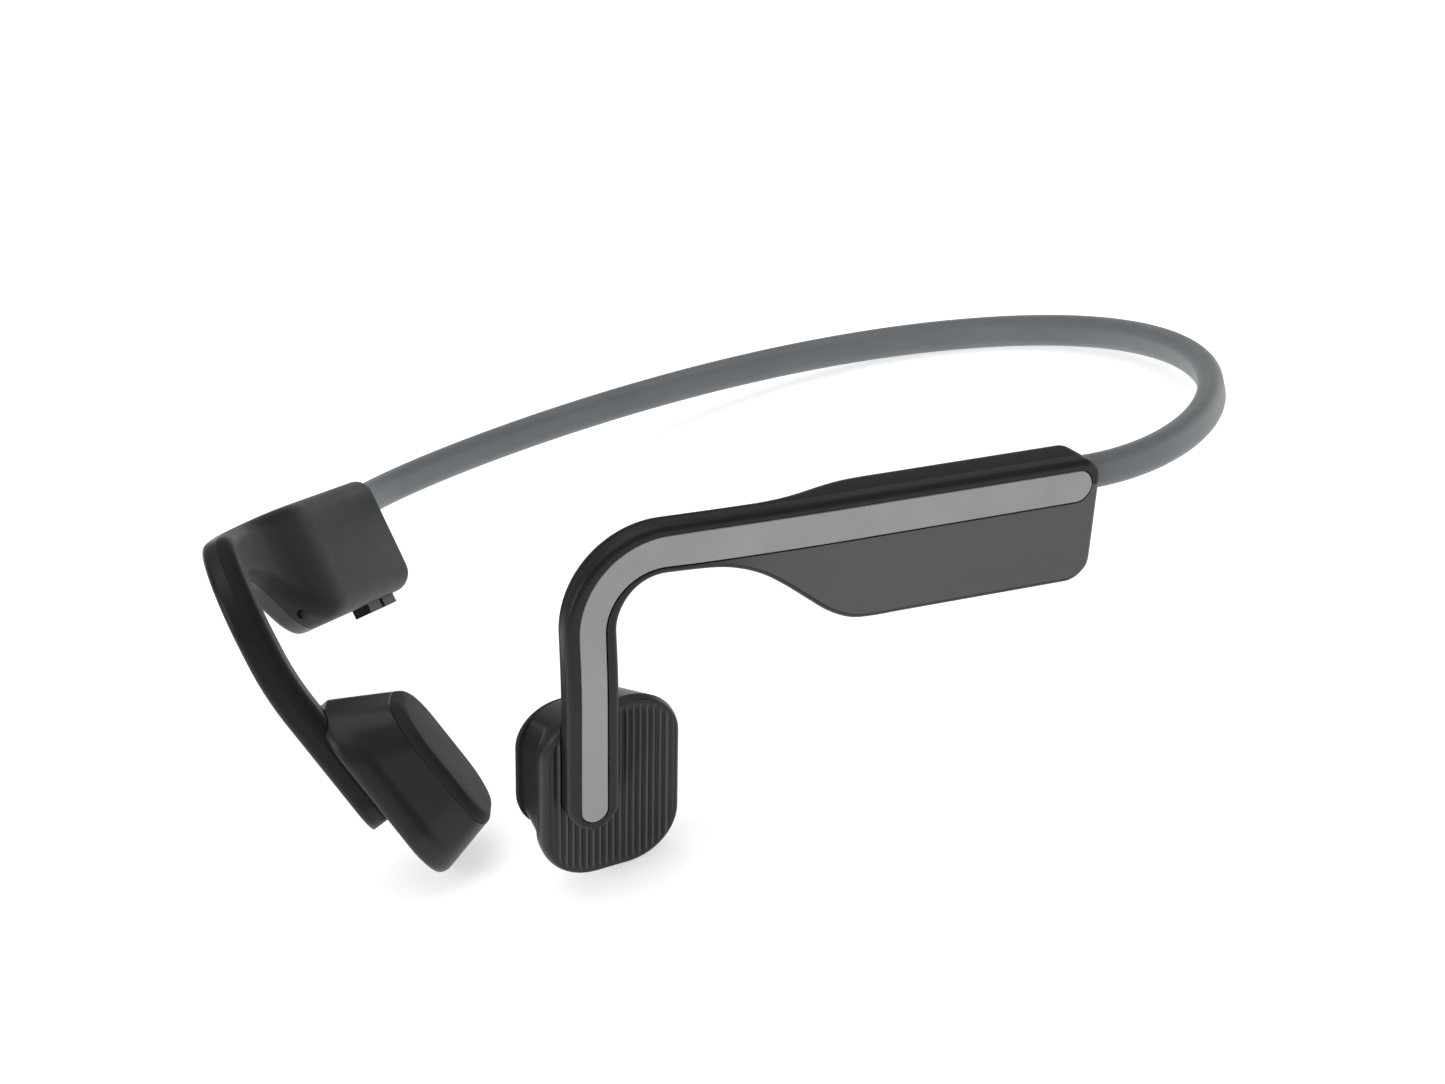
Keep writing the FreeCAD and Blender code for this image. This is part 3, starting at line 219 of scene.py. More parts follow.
def noise(tree, coordinates, size_mm, detail=3.0):
    """Noise whose features are about size_mm across."""
    node = add_node(tree, "ShaderNodeTexNoise")
    node.inputs["Scale"].default_value = 1000.0 / size_mm
    node.inputs["Detail"].default_value = detail
    tree.links.new(coordinates, node.inputs["Vector"])
    return node.outputs["Fac"]


def spread(tree, value, low, high):
    """The value's middle range stretched to run from low to high."""
    node = add_node(tree, "ShaderNodeMapRange")
    node.inputs["From Min"].default_value = 0.3
    node.inputs["From Max"].default_value = 0.7
    node.inputs["To Min"].default_value = low
    node.inputs["To Max"].default_value = high
    tree.links.new(value, node.inputs["Value"])
    return node.outputs["Result"]


def mix_colors(tree, share, first, second):
    node = add_node(tree, "ShaderNodeMix", data_type="RGBA")
    for socket, value in ((node.inputs["Factor"], share), (node.inputs["A"], first),
                          (node.inputs["B"], second)):
        if isinstance(value, bpy.types.NodeSocket):
            tree.links.new(value, socket)
        else:
            socket.default_value = value
    return node.outputs["Result"]


def edge_share(tree, radius_mm):
    """Near 1 along outside edges and 0 on open faces."""
    bevel = add_node(tree, "ShaderNodeBevel", samples=4)
    bevel.inputs["Radius"].default_value = radius_mm * MM
    shape = add_node(tree, "ShaderNodeNewGeometry")
    compare = add_node(tree, "ShaderNodeVectorMath", operation="DOT_PRODUCT")
    tree.links.new(bevel.outputs["Normal"], compare.inputs[0])
    tree.links.new(shape.outputs["Normal"], compare.inputs[1])
    turn = add_node(tree, "ShaderNodeMapRange")
    turn.inputs["From Min"].default_value = 1.0
    turn.inputs["From Max"].default_value = 0.8
    tree.links.new(compare.outputs["Value"], turn.inputs["Value"])
    return turn.outputs["Result"]


def moulded(name, color, roughness, grain_mm=0.12, grain_depth=0.012, edge_wear_and_highlight=0.25, sheen=0.0,
            metallic=0.0, coat=0.0, specular=0.25, painted_highlight_color=None):
    """A surface whose colour, gloss and relief vary finely, a little lighter along its edges as edge
    wear and a painted edge highlight, with an optional second colour that is a painted highlight.
    """
    material = bpy.data.materials.new(name)
    material.use_nodes = True
    tree = material.node_tree
    shader = tree.nodes["Principled BSDF"]
    place = add_node(tree, "ShaderNodeTexCoord").outputs["Object"]

    broad = noise(tree, place, 9.0, 4.0)
    base = (*color, 1.0)
    # A painted highlight: a lighter colour mixed in by each point's stored share.
    if painted_highlight_color:
        painted_highlight = add_node(tree, "ShaderNodeAttribute", attribute_name="painted_highlight")
        base = mix_colors(tree, painted_highlight.outputs["Fac"], base, (*painted_highlight_color, 1.0))
    darker = (*[channel * 0.88 for channel in color], 1.0)
    lighter = (*[min(1.0, channel * 1.5 + 0.012) for channel in color], 1.0)
    varied = base if painted_highlight_color else mix_colors(tree, spread(tree, broad, 0.0, 1.0), darker, base)
    # Edges are lightened: partly edge wear, partly a painted highlight along the edges.
    if edge_wear_and_highlight:
        rubbed_and_lit = add_node(tree, "ShaderNodeMath", operation="MULTIPLY")
        tree.links.new(edge_share(tree, 0.35), rubbed_and_lit.inputs[0])
        tree.links.new(spread(tree, noise(tree, place, 3.0), 0.2 * edge_wear_and_highlight, edge_wear_and_highlight), rubbed_and_lit.inputs[1])
        varied = mix_colors(tree, rubbed_and_lit.outputs["Value"], varied, lighter)
    tree.links.new(varied, shader.inputs["Base Color"])

    tree.links.new(spread(tree, noise(tree, place, 5.0), roughness * 0.96, roughness * 1.05),
                   shader.inputs["Roughness"])
    relief = add_node(tree, "ShaderNodeBump")
    relief.inputs["Strength"].default_value = 1.0
    relief.inputs["Distance"].default_value = grain_depth * MM
    tree.links.new(noise(tree, place, grain_mm, 2.0), relief.inputs["Height"])
    tree.links.new(relief.outputs["Normal"], shader.inputs["Normal"])

    shader.inputs["Metallic"].default_value = metallic
    shader.inputs["Specular IOR Level"].default_value = specular
    shader.inputs["Sheen Weight"].default_value = sheen
    shader.inputs["Coat Weight"].default_value = coat
    return material


def brushed(name, color, roughness, stretch=(40.0, 1.0, 1.0)):
    """Metal with fine lines along one direction."""
    material = bpy.data.materials.new(name)
    material.use_nodes = True
    tree = material.node_tree
    shader = tree.nodes["Principled BSDF"]
    place = add_node(tree, "ShaderNodeTexCoord").outputs["Object"]
    squeeze = add_node(tree, "ShaderNodeMapping")
    squeeze.inputs["Scale"].default_value = stretch
    tree.links.new(place, squeeze.inputs["Vector"])
    lines = noise(tree, squeeze.outputs["Vector"], 4.0, 5.0)
    tree.links.new(spread(tree, lines, roughness * 0.7, roughness * 1.3),
                   shader.inputs["Roughness"])
    tree.links.new(mix_colors(tree, spread(tree, lines, 0.0, 1.0), (*[c * 0.85 for c in color], 1.0),
                              (*color, 1.0)), shader.inputs["Base Color"])
    relief = add_node(tree, "ShaderNodeBump")
    relief.inputs["Distance"].default_value = 0.004 * MM
    tree.links.new(lines, relief.inputs["Height"])
    tree.links.new(relief.outputs["Normal"], shader.inputs["Normal"])
    shader.inputs["Metallic"].default_value = 1.0
    return material


MATERIALS = {
    "shell": moulded("shell", (0.021, 0.021, 0.022), 0.42, specular=0.06),
    "cup": moulded("cup", (0.018, 0.018, 0.019), 0.36, specular=0.3),
    # The second colours of face_shell and ribbed are painted highlights: on the pod's lower face and
    # on the rib crests.
    "face_shell": moulded("face_shell", (0.012, 0.012, 0.013), 0.36,
                          painted_highlight_color=(0.088, 0.088, 0.092)),
    "ribbed": moulded("ribbed", (0.018, 0.018, 0.019), 0.4, edge_wear_and_highlight=0.3,
                      painted_highlight_color=(0.085, 0.085, 0.087)),
    "inlay": moulded("inlay", (0.31, 0.32, 0.325), 0.42, grain_mm=0.06, grain_depth=0.004,
                     metallic=0.3, specular=0.5),
    "band_silicone": moulded("band_silicone", (0.160, 0.175, 0.185), 0.46, grain_mm=0.18,
                             grain_depth=0.010, sheen=0.08, specular=0.4),
    "pad_silicone": moulded("pad_silicone", (0.030, 0.030, 0.033), 0.6, grain_mm=0.2,
                            grain_depth=0.014, sheen=0.03, specular=0.06),
    "key_rubber": moulded("key_rubber", (0.012, 0.012, 0.013), 0.5, sheen=0.05),
    "steel": brushed("steel", (0.55, 0.55, 0.56), 0.3),
    "titanium": brushed("titanium", (0.50, 0.49, 0.47), 0.35),
    "magnet_nickel": brushed("magnet_nickel", (0.70, 0.69, 0.67), 0.15),
    "copper": brushed("copper", (0.72, 0.37, 0.20), 0.3),
    "cable_jacket": moulded("cable_jacket", (0.02, 0.02, 0.02), 0.5),
    "board": moulded("board", (0.010, 0.075, 0.040), 0.35),
    "cell_foil": brushed("cell_foil", (0.60, 0.61, 0.62), 0.4),
    "nylon": moulded("nylon", (0.62, 0.60, 0.55), 0.5),
    "lens": moulded("lens", (0.55, 0.56, 0.58), 0.25, edge_wear_and_highlight=0.0),
    "mesh": brushed("mesh", (0.10, 0.10, 0.10), 0.5, (1.0, 1.0, 1.0)),
}


def paint_nodes():
    """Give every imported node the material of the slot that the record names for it."""
    for part in frame["record"]["subparts"]:
        node = nodes[part["node"]]
        node.data.materials.clear()
        node.data.materials.append(MATERIALS[part["material_slot"]])


# Neckband ----------------------------------------------------------------------------------

splay = math.radians(BAND_SPLAY)
band_start = Vector((math.sin(splay), math.cos(splay), math.tan(math.radians(BAND_SLOPE))))
band_rear = Vector((0, BAND_DEPTH, BAND_RISE))
BAND_POLES = [Vector((HALF_SPACING, 0, 0)),
              Vector((HALF_SPACING, 0, 0)) + band_start * BAND_SIDE_HANDLE,
              band_rear + Vector((BAND_REAR_HANDLE, 0, 0)),
              band_rear]
BAND_UP = Vector((0, -BAND_RISE, BAND_DEPTH)).normalized()


def band_at(share):
    """Point and travel direction on the left half, from the pod (0) to the rear (1)."""
    left = 1 - share
    weights = [left ** 3, 3 * left ** 2 * share, 3 * left * share ** 2, share ** 3]
    slopes = [-3 * left ** 2, 3 * left ** 2 - 6 * left * share,
              6 * left * share - 3 * share ** 2, 3 * share ** 2]
    point = sum((pole * weight for pole, weight in zip(BAND_POLES, weights)), Vector())
    travel = sum((pole * slope for pole, slope in zip(BAND_POLES, slopes)), Vector())
    return point, travel.normalized()


def band_half(name, node, side, section, inserted, lift, material):
    """Half of a neckband piece, swept from inside the pod on one side to the rear."""
    first, travel = band_at(0)
    stations = [(first - travel * inserted, travel)]
    stations += [band_at(cut / 110) for cut in range(111)]
    rings = []
    for point, travel in stations:
        across = travel.cross(BAND_UP).normalized()
        along = across.cross(travel).normalized()
        middle = point + along * lift
        rings.append([middle + across * x + along * y for x, y in section])
    piece = sweep(name, rings, side, material, cap_last=False)
    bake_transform(piece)
    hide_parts(node)
    return piece


def build_neckband():
    sleeve = rounded_rectangle(BAND_THICK, BAND_TALL, BAND_CORNER)
    round_section = [(WIRE_RADIUS * math.cos(math.radians(angle)),
                      WIRE_RADIUS * math.sin(math.radians(angle))) for angle in range(0, 360, 30)]
    for side, label in ((1, "left"), (-1, "right")):
        half = band_half(f"neckband_sleeve_{label}", "neckband_sleeve", side, sleeve,
                         BAND_INSERTED, 0.0, MATERIALS["band_silicone"])
        wire = band_half(f"neckband_wire_{label}", "neckband_wire", side, round_section,
                         WIRE_INSERTED, WIRE_OFFSET, MATERIALS["titanium"])
        cable = band_half(f"neckband_cable_{label}", "neckband_cable", side, round_section,
                          WIRE_INSERTED, -WIRE_OFFSET, MATERIALS["cable_jacket"])


# Strip of pod and hook ---------------------------------------------------------------------

def linear(place, places, values):
    """Straight-line interpolation of values given at rising places."""
    for start, end, low, high in zip(places, places[1:], values, values[1:]):
        if place <= end:
            return low + (high - low) * (place - start) / (end - start)
    return values[-1]


def flowing(place, places, values):
    """Smooth interpolation through values given at rising places, level beyond both ends."""
    if place <= places[0]:
        return values[0]
    if place >= places[-1]:
        return values[-1]
    after = next(index for index, known in enumerate(places) if known > place)
    before = after - 1

    def slope(index):
        if index in (0, len(places) - 1):
            return 0.0
        return (values[index + 1] - values[index - 1]) / (places[index + 1] - places[index - 1])

    run = places[after] - places[before]
    share = (place - places[before]) / run
    return (values[before] * (1 + 2 * share) * (1 - share) ** 2
            + slope(before) * run * share * (1 - share) ** 2
            + values[after] * share ** 2 * (3 - 2 * share)
            - slope(after) * run * share ** 2 * (1 - share))


def side_axes(toe, lean):
    """Forward, outward and up directions of the left side, toed in and leaning in at the foot."""
    angle = math.radians(toe)
    ahead = Vector((-math.sin(angle), -math.cos(angle), 0))
    out = Vector((math.cos(angle), -math.sin(angle), 0))
    lean_in = Matrix.Rotation(math.radians(-lean), 3, ahead)
    return ahead, lean_in @ out, lean_in @ Vector((0, 0, 1))


pod_forward, pod_outward, pod_up = side_axes(POD_TOE, POD_LEAN)
pod_corner = Vector((HALF_SPACING, 0, 0)) + pod_outward * POD_OUTWARD + pod_forward * POD_REAR
bend_end = BEND_START + math.radians(BEND_TURN) * BEND_RADIUS
HOOK_PLACES = [0, STRAIGHT_END, BEND_START, bend_end, bend_end + DROPS[0],
               bend_end + DROPS[0] + DROPS[1],
               bend_end + sum(DROPS) + TIP_MARGIN]
HOOK_TOES = [POD_TOE] * 2 + [HOOK_TOE] * 5
HOOK_TURNS = [0, 0, 0, BEND_TURN, BEND_TURN, TAIL_TURN, TAIL_TURN]
HOOK_LEANS = [POD_LEAN] * 3 + [HOOK_LEAN] * 2 + [TAIL_LEAN] * 2
HOOK_LENGTH = HOOK_PLACES[-1]


def pod_point(x, y, z):
    """A point given in the pod frame: forward from the rear, up, and in from the outer face."""
    return pod_corner + pod_forward * x + pod_up * y - pod_outward * z


def hook_directions(place, between):
    toe = between(place, HOOK_PLACES, HOOK_TOES)
    lean = between(place, HOOK_PLACES, HOOK_LEANS)
    turn = math.radians(linear(place, HOOK_PLACES, HOOK_TURNS))
    ahead, out, high = side_axes(toe, lean)
    return ahead * math.cos(turn) - high * math.sin(turn), out


def walk_hook():
    """Points of the strip's middle line on the outer face, every STEP from the pod's rear."""
    point = pod_corner + pod_up * (POD_TOP - HOOK_HALF)
    points = [point]
    for count in range(int(HOOK_LENGTH / STEP)):
        travel, _ = hook_directions((count + 0.5) * STEP, linear)
        point = point + travel * STEP
        points.append(point)
    return points


HOOK_POINTS = walk_hook()


def hook_at(place, between=flowing):
    """Point, travel, outward and earward directions at a distance along the strip."""
    count = min(int(place / STEP), len(HOOK_POINTS) - 1)
    straight, _ = hook_directions(place, linear)
    travel, out = hook_directions(place, between)
    point = HOOK_POINTS[count] + straight * (place - count * STEP)
    return point, travel, out, out.cross(travel)


FOOT_PLACES = [30, 35, 38, 41.5, 45, 48.5, 52, 56, 60, 69.4, 77.4, HOOK_LENGTH]
FOOT_DROPS = [13.45, 13.45, 13.1, 11.7, 9.5, 7.2, 5.2, 3.8, 3.25, 3.1, 3.3, 3.4]
THICK_PLACES = [31, 35, 38, 41.5, 45, 48.5, 54]
THICK_SHARES = [1, 0.99, 0.9, 0.66, 0.36, 0.13, 0]
STRIPE_PLACES = [0, 60, 80, HOOK_LENGTH]
STRIPE_HALVES = [2.15, 2.15, 1.75, 1.75]


def round_off(distance, radius):
    """How far a rounded corner falls short of square, at a distance from its end."""
    if distance >= radius:
        return 0.0
    return radius - math.sqrt(max(0.0, radius ** 2 - (radius - distance) ** 2))


def half_widths(place, margin=0.0):
    """The strip's reach above and below its middle line, with the rear corners and the tip round."""
    top = HOOK_HALF + margin
    foot = flowing(place, FOOT_PLACES, FOOT_DROPS) + margin
    left = HOOK_LENGTH + margin - place
    top -= round_off(place, POD_CORNER_TOP) + round_off(left, HOOK_HALF + margin)
    foot -= round_off(place, POD_CORNER_BOTTOM) + round_off(left, HOOK_HALF + margin)
    return max(top, 0.02), max(foot, 0.02)


def inner_depth(place):
    share = flowing(place, THICK_PLACES, THICK_SHARES)
    return HOOK_THICK + (POD_THICK - HOOK_THICK) * share - round_off(place, POD_INNER_ROUND)


def stripe_half(place, gap=0.0):
    """Half the stripe's width, closing in a half round at both ends."""
    half = flowing(place, STRIPE_PLACES, STRIPE_HALVES) + gap
    end = HOOK_LENGTH - TIP_MARGIN - STRIPE_HALVES[-1]
    before = place - (STRIPE_START - half)
    after = end + half - place
    if before <= 0 or after <= 0:
        return 0.0
    return half - round_off(before, half) - round_off(after, half)


def between_stops(stops, step):
    """Places from stop to stop, at most a step apart."""
    places = []
    for start, end in zip(stops, stops[1:]):
        count = max(1, math.ceil((end - start) / step))
        places += [start + (end - start) * index / count for index in range(count)]
    return places + [stops[-1]]


def closing(start, end, count=10):
    """Places that crowd towards the end of a rounded form."""
    return [start + (end - start) * math.sin(math.pi / 2 * index / count)
            for index in range(count + 1)]


def shell_places():
    """Stations along a shell, crowded where the rear, the stripe's ends and the tip are round."""
    stripe_first = STRIPE_START - STRIPE_HALVES[0] - STRIPE_GAP
    stripe_last = HOOK_LENGTH - TIP_MARGIN + STRIPE_GAP
    places = set(between_stops([POD_CORNER_BOTTOM, 20, HOOK_LENGTH - HOOK_HALF], 0.6))
    places.update(closing(POD_CORNER_BOTTOM, 0.0, 16))
    places.update(closing(REAR_ROUND, 0.0, 5))
    places.update(closing(STRIPE_START, stripe_first))
    places.update(closing(HOOK_LENGTH - HOOK_HALF, HOOK_LENGTH, 16))
    places.update(closing(stripe_last - STRIPE_HALVES[-1], stripe_last))
    kept = []
    for place in sorted(places):
        if not kept or place - kept[-1] > 0.015:
            kept.append(place)
    return kept


def arc(across, depth, radius, first, last, steps=6):
    """Points (across, depth) of a rounded corner about a centre, by angle from +across to +depth."""
    spots = []
    for step in range(steps + 1):
        angle = math.radians(first + (last - first) * step / steps)
        spots.append((across + radius * math.cos(angle), depth + radius * math.sin(angle)))
    return spots


def line(first, last, count):
    """Points between two values, without the first."""
    return [first + (last - first) * step / count for step in range(1, count + 1)]


# Points of outer_section that lie on the face between the groove and the foot's corner, which take a
# painted highlight that fades out along the strip
LOWER_FACE = (13, 19)
LOWER_FACE_HIGHLIGHT_FADE = [50.0, 64.0]


def set_painted_highlight(piece, highlight_shares):
    """Store how much of a material's painted highlight colour each point takes."""
    attribute = piece.data.attributes.new("painted_highlight", "FLOAT", "POINT")
    attribute.data.foreach_set("value", highlight_shares)


def outer_section(place):
    """The outer shell's section: a flat face with rounded sides and the stripe's groove."""
    top, foot = half_widths(place)
    depth = round_off(place, REAR_ROUND)
    round_top = min(EDGE_ROUND_TOP, top * 0.9)
    round_foot = min(EDGE_ROUND_FOOT, foot * 0.9)
    groove = min(stripe_half(place, STRIPE_GAP), top * 0.85)
    floor = depth + STRIPE_GROOVE
    bevel = min(SPLIT_BEVEL, top * 0.3)
    spots = [(bevel - top, SPLIT), (-top, SPLIT - bevel)]
    spots += arc(round_top - top, depth + round_top, round_top, 180, 270)
    spots += [(across, depth) for across in line(round_top - top, -groove, 2)]
    spots += [(-groove, floor), (groove, floor), (groove, depth)]
    spots += [(across, depth) for across in line(groove, foot - round_foot, 6)][:-1]
    spots += arc(foot - round_foot, depth + round_foot, round_foot, 270, 360)
    spots += [(foot, SPLIT - bevel), (foot - bevel, SPLIT)]
    return spots


def inner_section(place, margin=0.0):
    """The inner shell's section: from the parting plane to a soft inner face."""
    top, foot = half_widths(place, margin)
    start = SPLIT + SPLIT_GAP if not margin else -1.0
    depth = inner_depth(min(place, HOOK_LENGTH)) + margin
    share = flowing(place, THICK_PLACES, THICK_SHARES)
    radius = HOOK_INNER_ROUND + (POD_INNER_ROUND - HOOK_INNER_ROUND) * share
    radius = min(radius, depth - SPLIT - 0.3, top * 0.9, foot * 0.9)
    bevel = min(SPLIT_BEVEL, top * 0.3)
    spots = [(bevel - top, start), (-top, start + bevel)]
    spots += arc(radius - top, depth - radius, radius, 180, 90, 9)
    spots += [(across, depth) for across in line(radius - top, foot - radius, 10)][:-1]
    spots += arc(foot - radius, depth - radius, radius, 90, 0, 9)
    spots += [(foot, start + bevel), (foot - bevel, start)]
    return spots


def strip_ring(place, spots):
    point, _, out, earward = hook_at(place)
    return [point + earward * across - out * depth for across, depth in spots]


def stripe_section(place):
    half = stripe_half(place)
    edge = min(0.1, half * 0.4)
    return [(-half, STRIPE_THICK), (-half, edge), (edge - half, 0.0), (-half * 0.4, -0.015),
            (half * 0.4, -0.015), (half - edge, 0.0), (half, edge), (half, STRIPE_THICK)]


def cut_away(piece, *cutters):
    """The piece less its cutters, which are then removed."""
    for cutter in cutters:
        cut = piece.modifiers.new("cut", "BOOLEAN")
        cut.operation = "DIFFERENCE"
        cut.solver = "EXACT"
        cut.object = cutter
    bpy.context.view_layer.update()
    whole = piece.evaluated_get(bpy.context.evaluated_depsgraph_get())
    mesh = bpy.data.meshes.new_from_object(whole)
    if not mesh.polygons:
        raise RuntimeError(f"cutting {piece.name} left nothing")
    piece.modifiers.clear()
    piece.data = mesh
    mesh.polygons.foreach_set("use_smooth", [True] * len(mesh.polygons))
    mesh.set_sharp_from_angle(angle=math.radians(35))
    for cutter in cutters:
        bpy.data.objects.remove(cutter)


def pod_block(start, end, side):
    """A block between two corners of the pod frame, for cutting."""
    corners = [[pod_point(x, y, z) for x, y in ((start[0], start[1]), (end[0], start[1]),
                                                (end[0], end[1]), (start[0], end[1]))]
               for z in (start[2], end[2])]
    return sweep("cutter", corners, side, None)


def pod_drill(middle, radius, ahead, aside, reach, side):
    """A cylinder from a point of the pod frame, for cutting."""
    rings = []
    for lift in (0.0, reach):
        rings.append([pod_point(*(Vector(middle) + ahead * lift
                                  + aside[0] * (radius * math.cos(math.radians(angle)))
                                  + aside[1] * (radius * math.sin(math.radians(angle)))))
                      for angle in range(0, 360, 15)])
    return sweep("cutter", rings, side, None)


KEY_LONG = 5.8
KEY_DEEP = 2.5
KEY_MIDDLE = 3.95
KEY_STARTS = (4.9, 12.1)
KEY_GAP = 0.06
PORT_START = 21.0
PORT_LONG = 9.0
FLAP_START = 20.6
FLAP_LONG = 10.1
FLAP_DEEP = 2.9
FLAP_THICK = 0.63
FLAP_DEPTH = 2.55
LENS_PLACE = 19.3
MICROPHONE = (-11.05, 4.05)
UP, DEEPER, AHEAD = Vector((0, 1, 0)), Vector((0, 0, 1)), Vector((1, 0, 0))


def right_side_openings():
    """Cutters for the keys, the charging socket and its cover, the light and the microphone."""
    floor = WALL - POD_BOTTOM
    below = -POD_BOTTOM - 1.0
    cutters = []
    for start in KEY_STARTS:
        cutters.append(pod_block((start - KEY_GAP, below, KEY_MIDDLE - KEY_DEEP / 2 - KEY_GAP),
                                 (start + KEY_LONG + KEY_GAP, floor + 0.5,
                                  KEY_MIDDLE + KEY_DEEP / 2 + KEY_GAP), -1))
        cutters.append(pod_block((start - 0.6, floor, KEY_MIDDLE - 1.45),
                                 (start + KEY_LONG + 0.6, floor + 1.2, KEY_MIDDLE + 1.6), -1))
    cutters.append(pod_block((FLAP_START, below, FLAP_DEPTH - 0.05),
                             (FLAP_START + FLAP_LONG + 0.2, FLAP_THICK - POD_BOTTOM,
                              FLAP_DEPTH + FLAP_DEEP + 0.05), -1))
    cutters.append(pod_block((PORT_START + 0.45, -POD_BOTTOM, 2.65),
                             (PORT_START + PORT_LONG - 0.45, floor + 0.3, 5.15), -1))
    cutters.append(pod_block((PORT_START - 0.05, floor + 0.06, 2.5),
                             (PORT_START + PORT_LONG + 0.05, floor + 7.2, 5.4), -1))
    cutters.append(pod_drill((LENS_PLACE, below, KEY_MIDDLE), 0.63, UP, (AHEAD, DEEPER), 3.0, -1))
    cutters.append(pod_drill((33.0, *MICROPHONE), 0.5, AHEAD, (UP, DEEPER), 14.0, -1))
    cutters.append(pod_drill((41.25, *MICROPHONE), 0.85, AHEAD, (UP, DEEPER), 6.0, -1))
    return cutters


def build_shells():
    places = shell_places()
    stripe_first = STRIPE_START - STRIPE_HALVES[0]
    stripe_last = HOOK_LENGTH - TIP_MARGIN
    stripe_places = (closing(STRIPE_START, stripe_first, 12)[::-1]
                     + [place for place in places if STRIPE_START < place < stripe_last - 1.8]
                     + closing(stripe_last - 1.75, stripe_last, 12))
    for side, label in ((1, "left"), (-1, "right")):
        body = f"{label}_side"
        outer = sweep(f"{label}_outer_shell_skin",
                      [strip_ring(place, outer_section(place)) for place in places],
                      side, MATERIALS["face_shell"])
        inner = sweep(f"{label}_inner_shell_skin",
                      [strip_ring(place, inner_section(place)) for place in places],
                      side, MATERIALS["shell"])
        stripe = sweep(f"{label}_stripe", [strip_ring(place, stripe_section(place))
                                           for place in stripe_places],
                       side, MATERIALS["inlay"])
        paint_lower_face_highlight(outer, places, len(outer_section(places[0])))
        if side < 0:
            cut_away(inner, *right_side_openings())
        for piece, node, slot in ((outer, "outer_shell", "face_shell"),
                                  (inner, "inner_shell", "shell"),
                                  (stripe, "stripe_inlay", "inlay")):
            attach(piece, body)
            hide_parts(f"{label}_{node}")


def paint_lower_face_highlight(shell, places, count):
    """Paint a highlight on the pod's face below the stripe, fading out along the strip."""
    highlight_shares = []
    for place in places:
        share = flowing(place, LOWER_FACE_HIGHLIGHT_FADE, [1.0, 0.0])
        for index in range(count):
            highlight_shares.append(share if LOWER_FACE[0] <= index <= LOWER_FACE[1] else 0.0)
    set_painted_highlight(shell, highlight_shares)


# Transducer --------------------------------------------------------------------------------

tail_point, tail_travel, tail_out, tail_earward = hook_at(HOOK_LENGTH)
turned = Matrix.Rotation(math.radians(TRANSDUCER_TURN), 3, tail_travel)
face_in = turned @ tail_out * -1
face_forward = turned @ tail_earward * -1
face_up = tail_travel * -1
face_middle = (tail_point - tail_travel * (TRANSDUCER_UP + TIP_MARGIN)
               + tail_earward * TRANSDUCER_BACK - tail_out * TRANSDUCER_SINK)


def face_point(x, y, z):
    """A point in the transducer frame: forward, up, and in from the middle of the ribbed face."""
    return face_middle + face_forward * x + face_up * y + face_in * z


def outline(depth, inset=0.0, steps=14):
    """Points (forward, up) round the transducer at a depth."""
    share = depth / TRANSDUCER_THICK
    wide, tall, corner = (outer + (inner - outer) * share
                          for outer, inner in zip(OUTER_FACE, INNER_FACE))
    return [(x + INNER_FORWARD * share, y - INNER_DOWN * share)
            for x, y in rounded_rectangle(wide - 2 * inset, tall - 2 * inset,
                                          max(0.5, corner - inset), steps)]


def scooped(x, y, depth):
    """How far the front wall is scooped in: a soft-edged hollow from the rim to the pad."""
    share = depth / TRANSDUCER_THICK
    forward = x - INNER_FORWARD * share
    half_wide = (OUTER_FACE[0] + (INNER_FACE[0] - OUTER_FACE[0]) * share) / 2
    half_tall = (OUTER_FACE[1] + (INNER_FACE[1] - OUTER_FACE[1]) * share) / 2
    height = y + INNER_DOWN * share
    along = flowing(abs(height) / half_tall, [0.66, 0.92], [1.0, 0.0])
    front = flowing(forward / half_wide, [0.6, 0.93], [0.0, 1.0])
    deep = flowing(depth, [2.5, 4.2], [0.0, 1.0])
    return SCOOP_DEPTH * along * front * deep


def build_housing(label, side):
    """The transducer's cup, from the seat of its ribbed face over the rim to the pad."""
    mouth = TRANSDUCER_THICK - PAD_THICK - SPLIT_GAP
    seat = rounded_rectangle(PLATE[0] + 2 * PLATE_GAP, PLATE[1] + 2 * PLATE_GAP,
                             PLATE[2] + PLATE_GAP, 14)
    shoulder = outline(RIM_DEPTH)
    rings = [[face_point(x, y, DECK_DEPTH) for x, y in seat]]
    for step in range(10):
        angle = math.radians(90 * step / 9)
        rings.append([face_point(near_x + (far_x - near_x) * math.sin(angle),
                                 near_y + (far_y - near_y) * math.sin(angle),
                                 PLATE_CROWN + (RIM_DEPTH - PLATE_CROWN) * (1 - math.cos(angle)))
                      for (near_x, near_y), (far_x, far_y) in zip(seat, shoulder)])
    depths = [1.9, 2.2, 2.5] + [2.8 + RING_STEP * step for step in range(41)]
    for depth in [known for known in depths if known < mouth - RING_STEP] + [mouth - 0.12]:
        rings.append([face_point(x - scooped(x, y, depth), y, depth)
                      for x, y in outline(depth)])
    rings.append([face_point(x - scooped(x, y, mouth), y, mouth) for x, y in outline(mouth, 0.12)])
    even = [spread_ring(ring) for ring in rings]
    piece = sweep(f"{label}_transducer_cup", even, side, MATERIALS["cup"])
    cut_away(piece, arm_clearance(side))
    finish_piece(piece, f"{label}_side", f"{label}_transducer_housing")


def spread_ring(ring):
    """The ring's points, with more of them along its four straight runs."""
    quarter = len(ring) // 4
    full = []
    for start in range(0, len(ring), quarter):
        corner = ring[start:start + quarter]
        following = ring[(start + quarter) % len(ring)]
        full += corner
        full += [corner[-1].lerp(following, step / 12) for step in range(1, 12)]
    return full


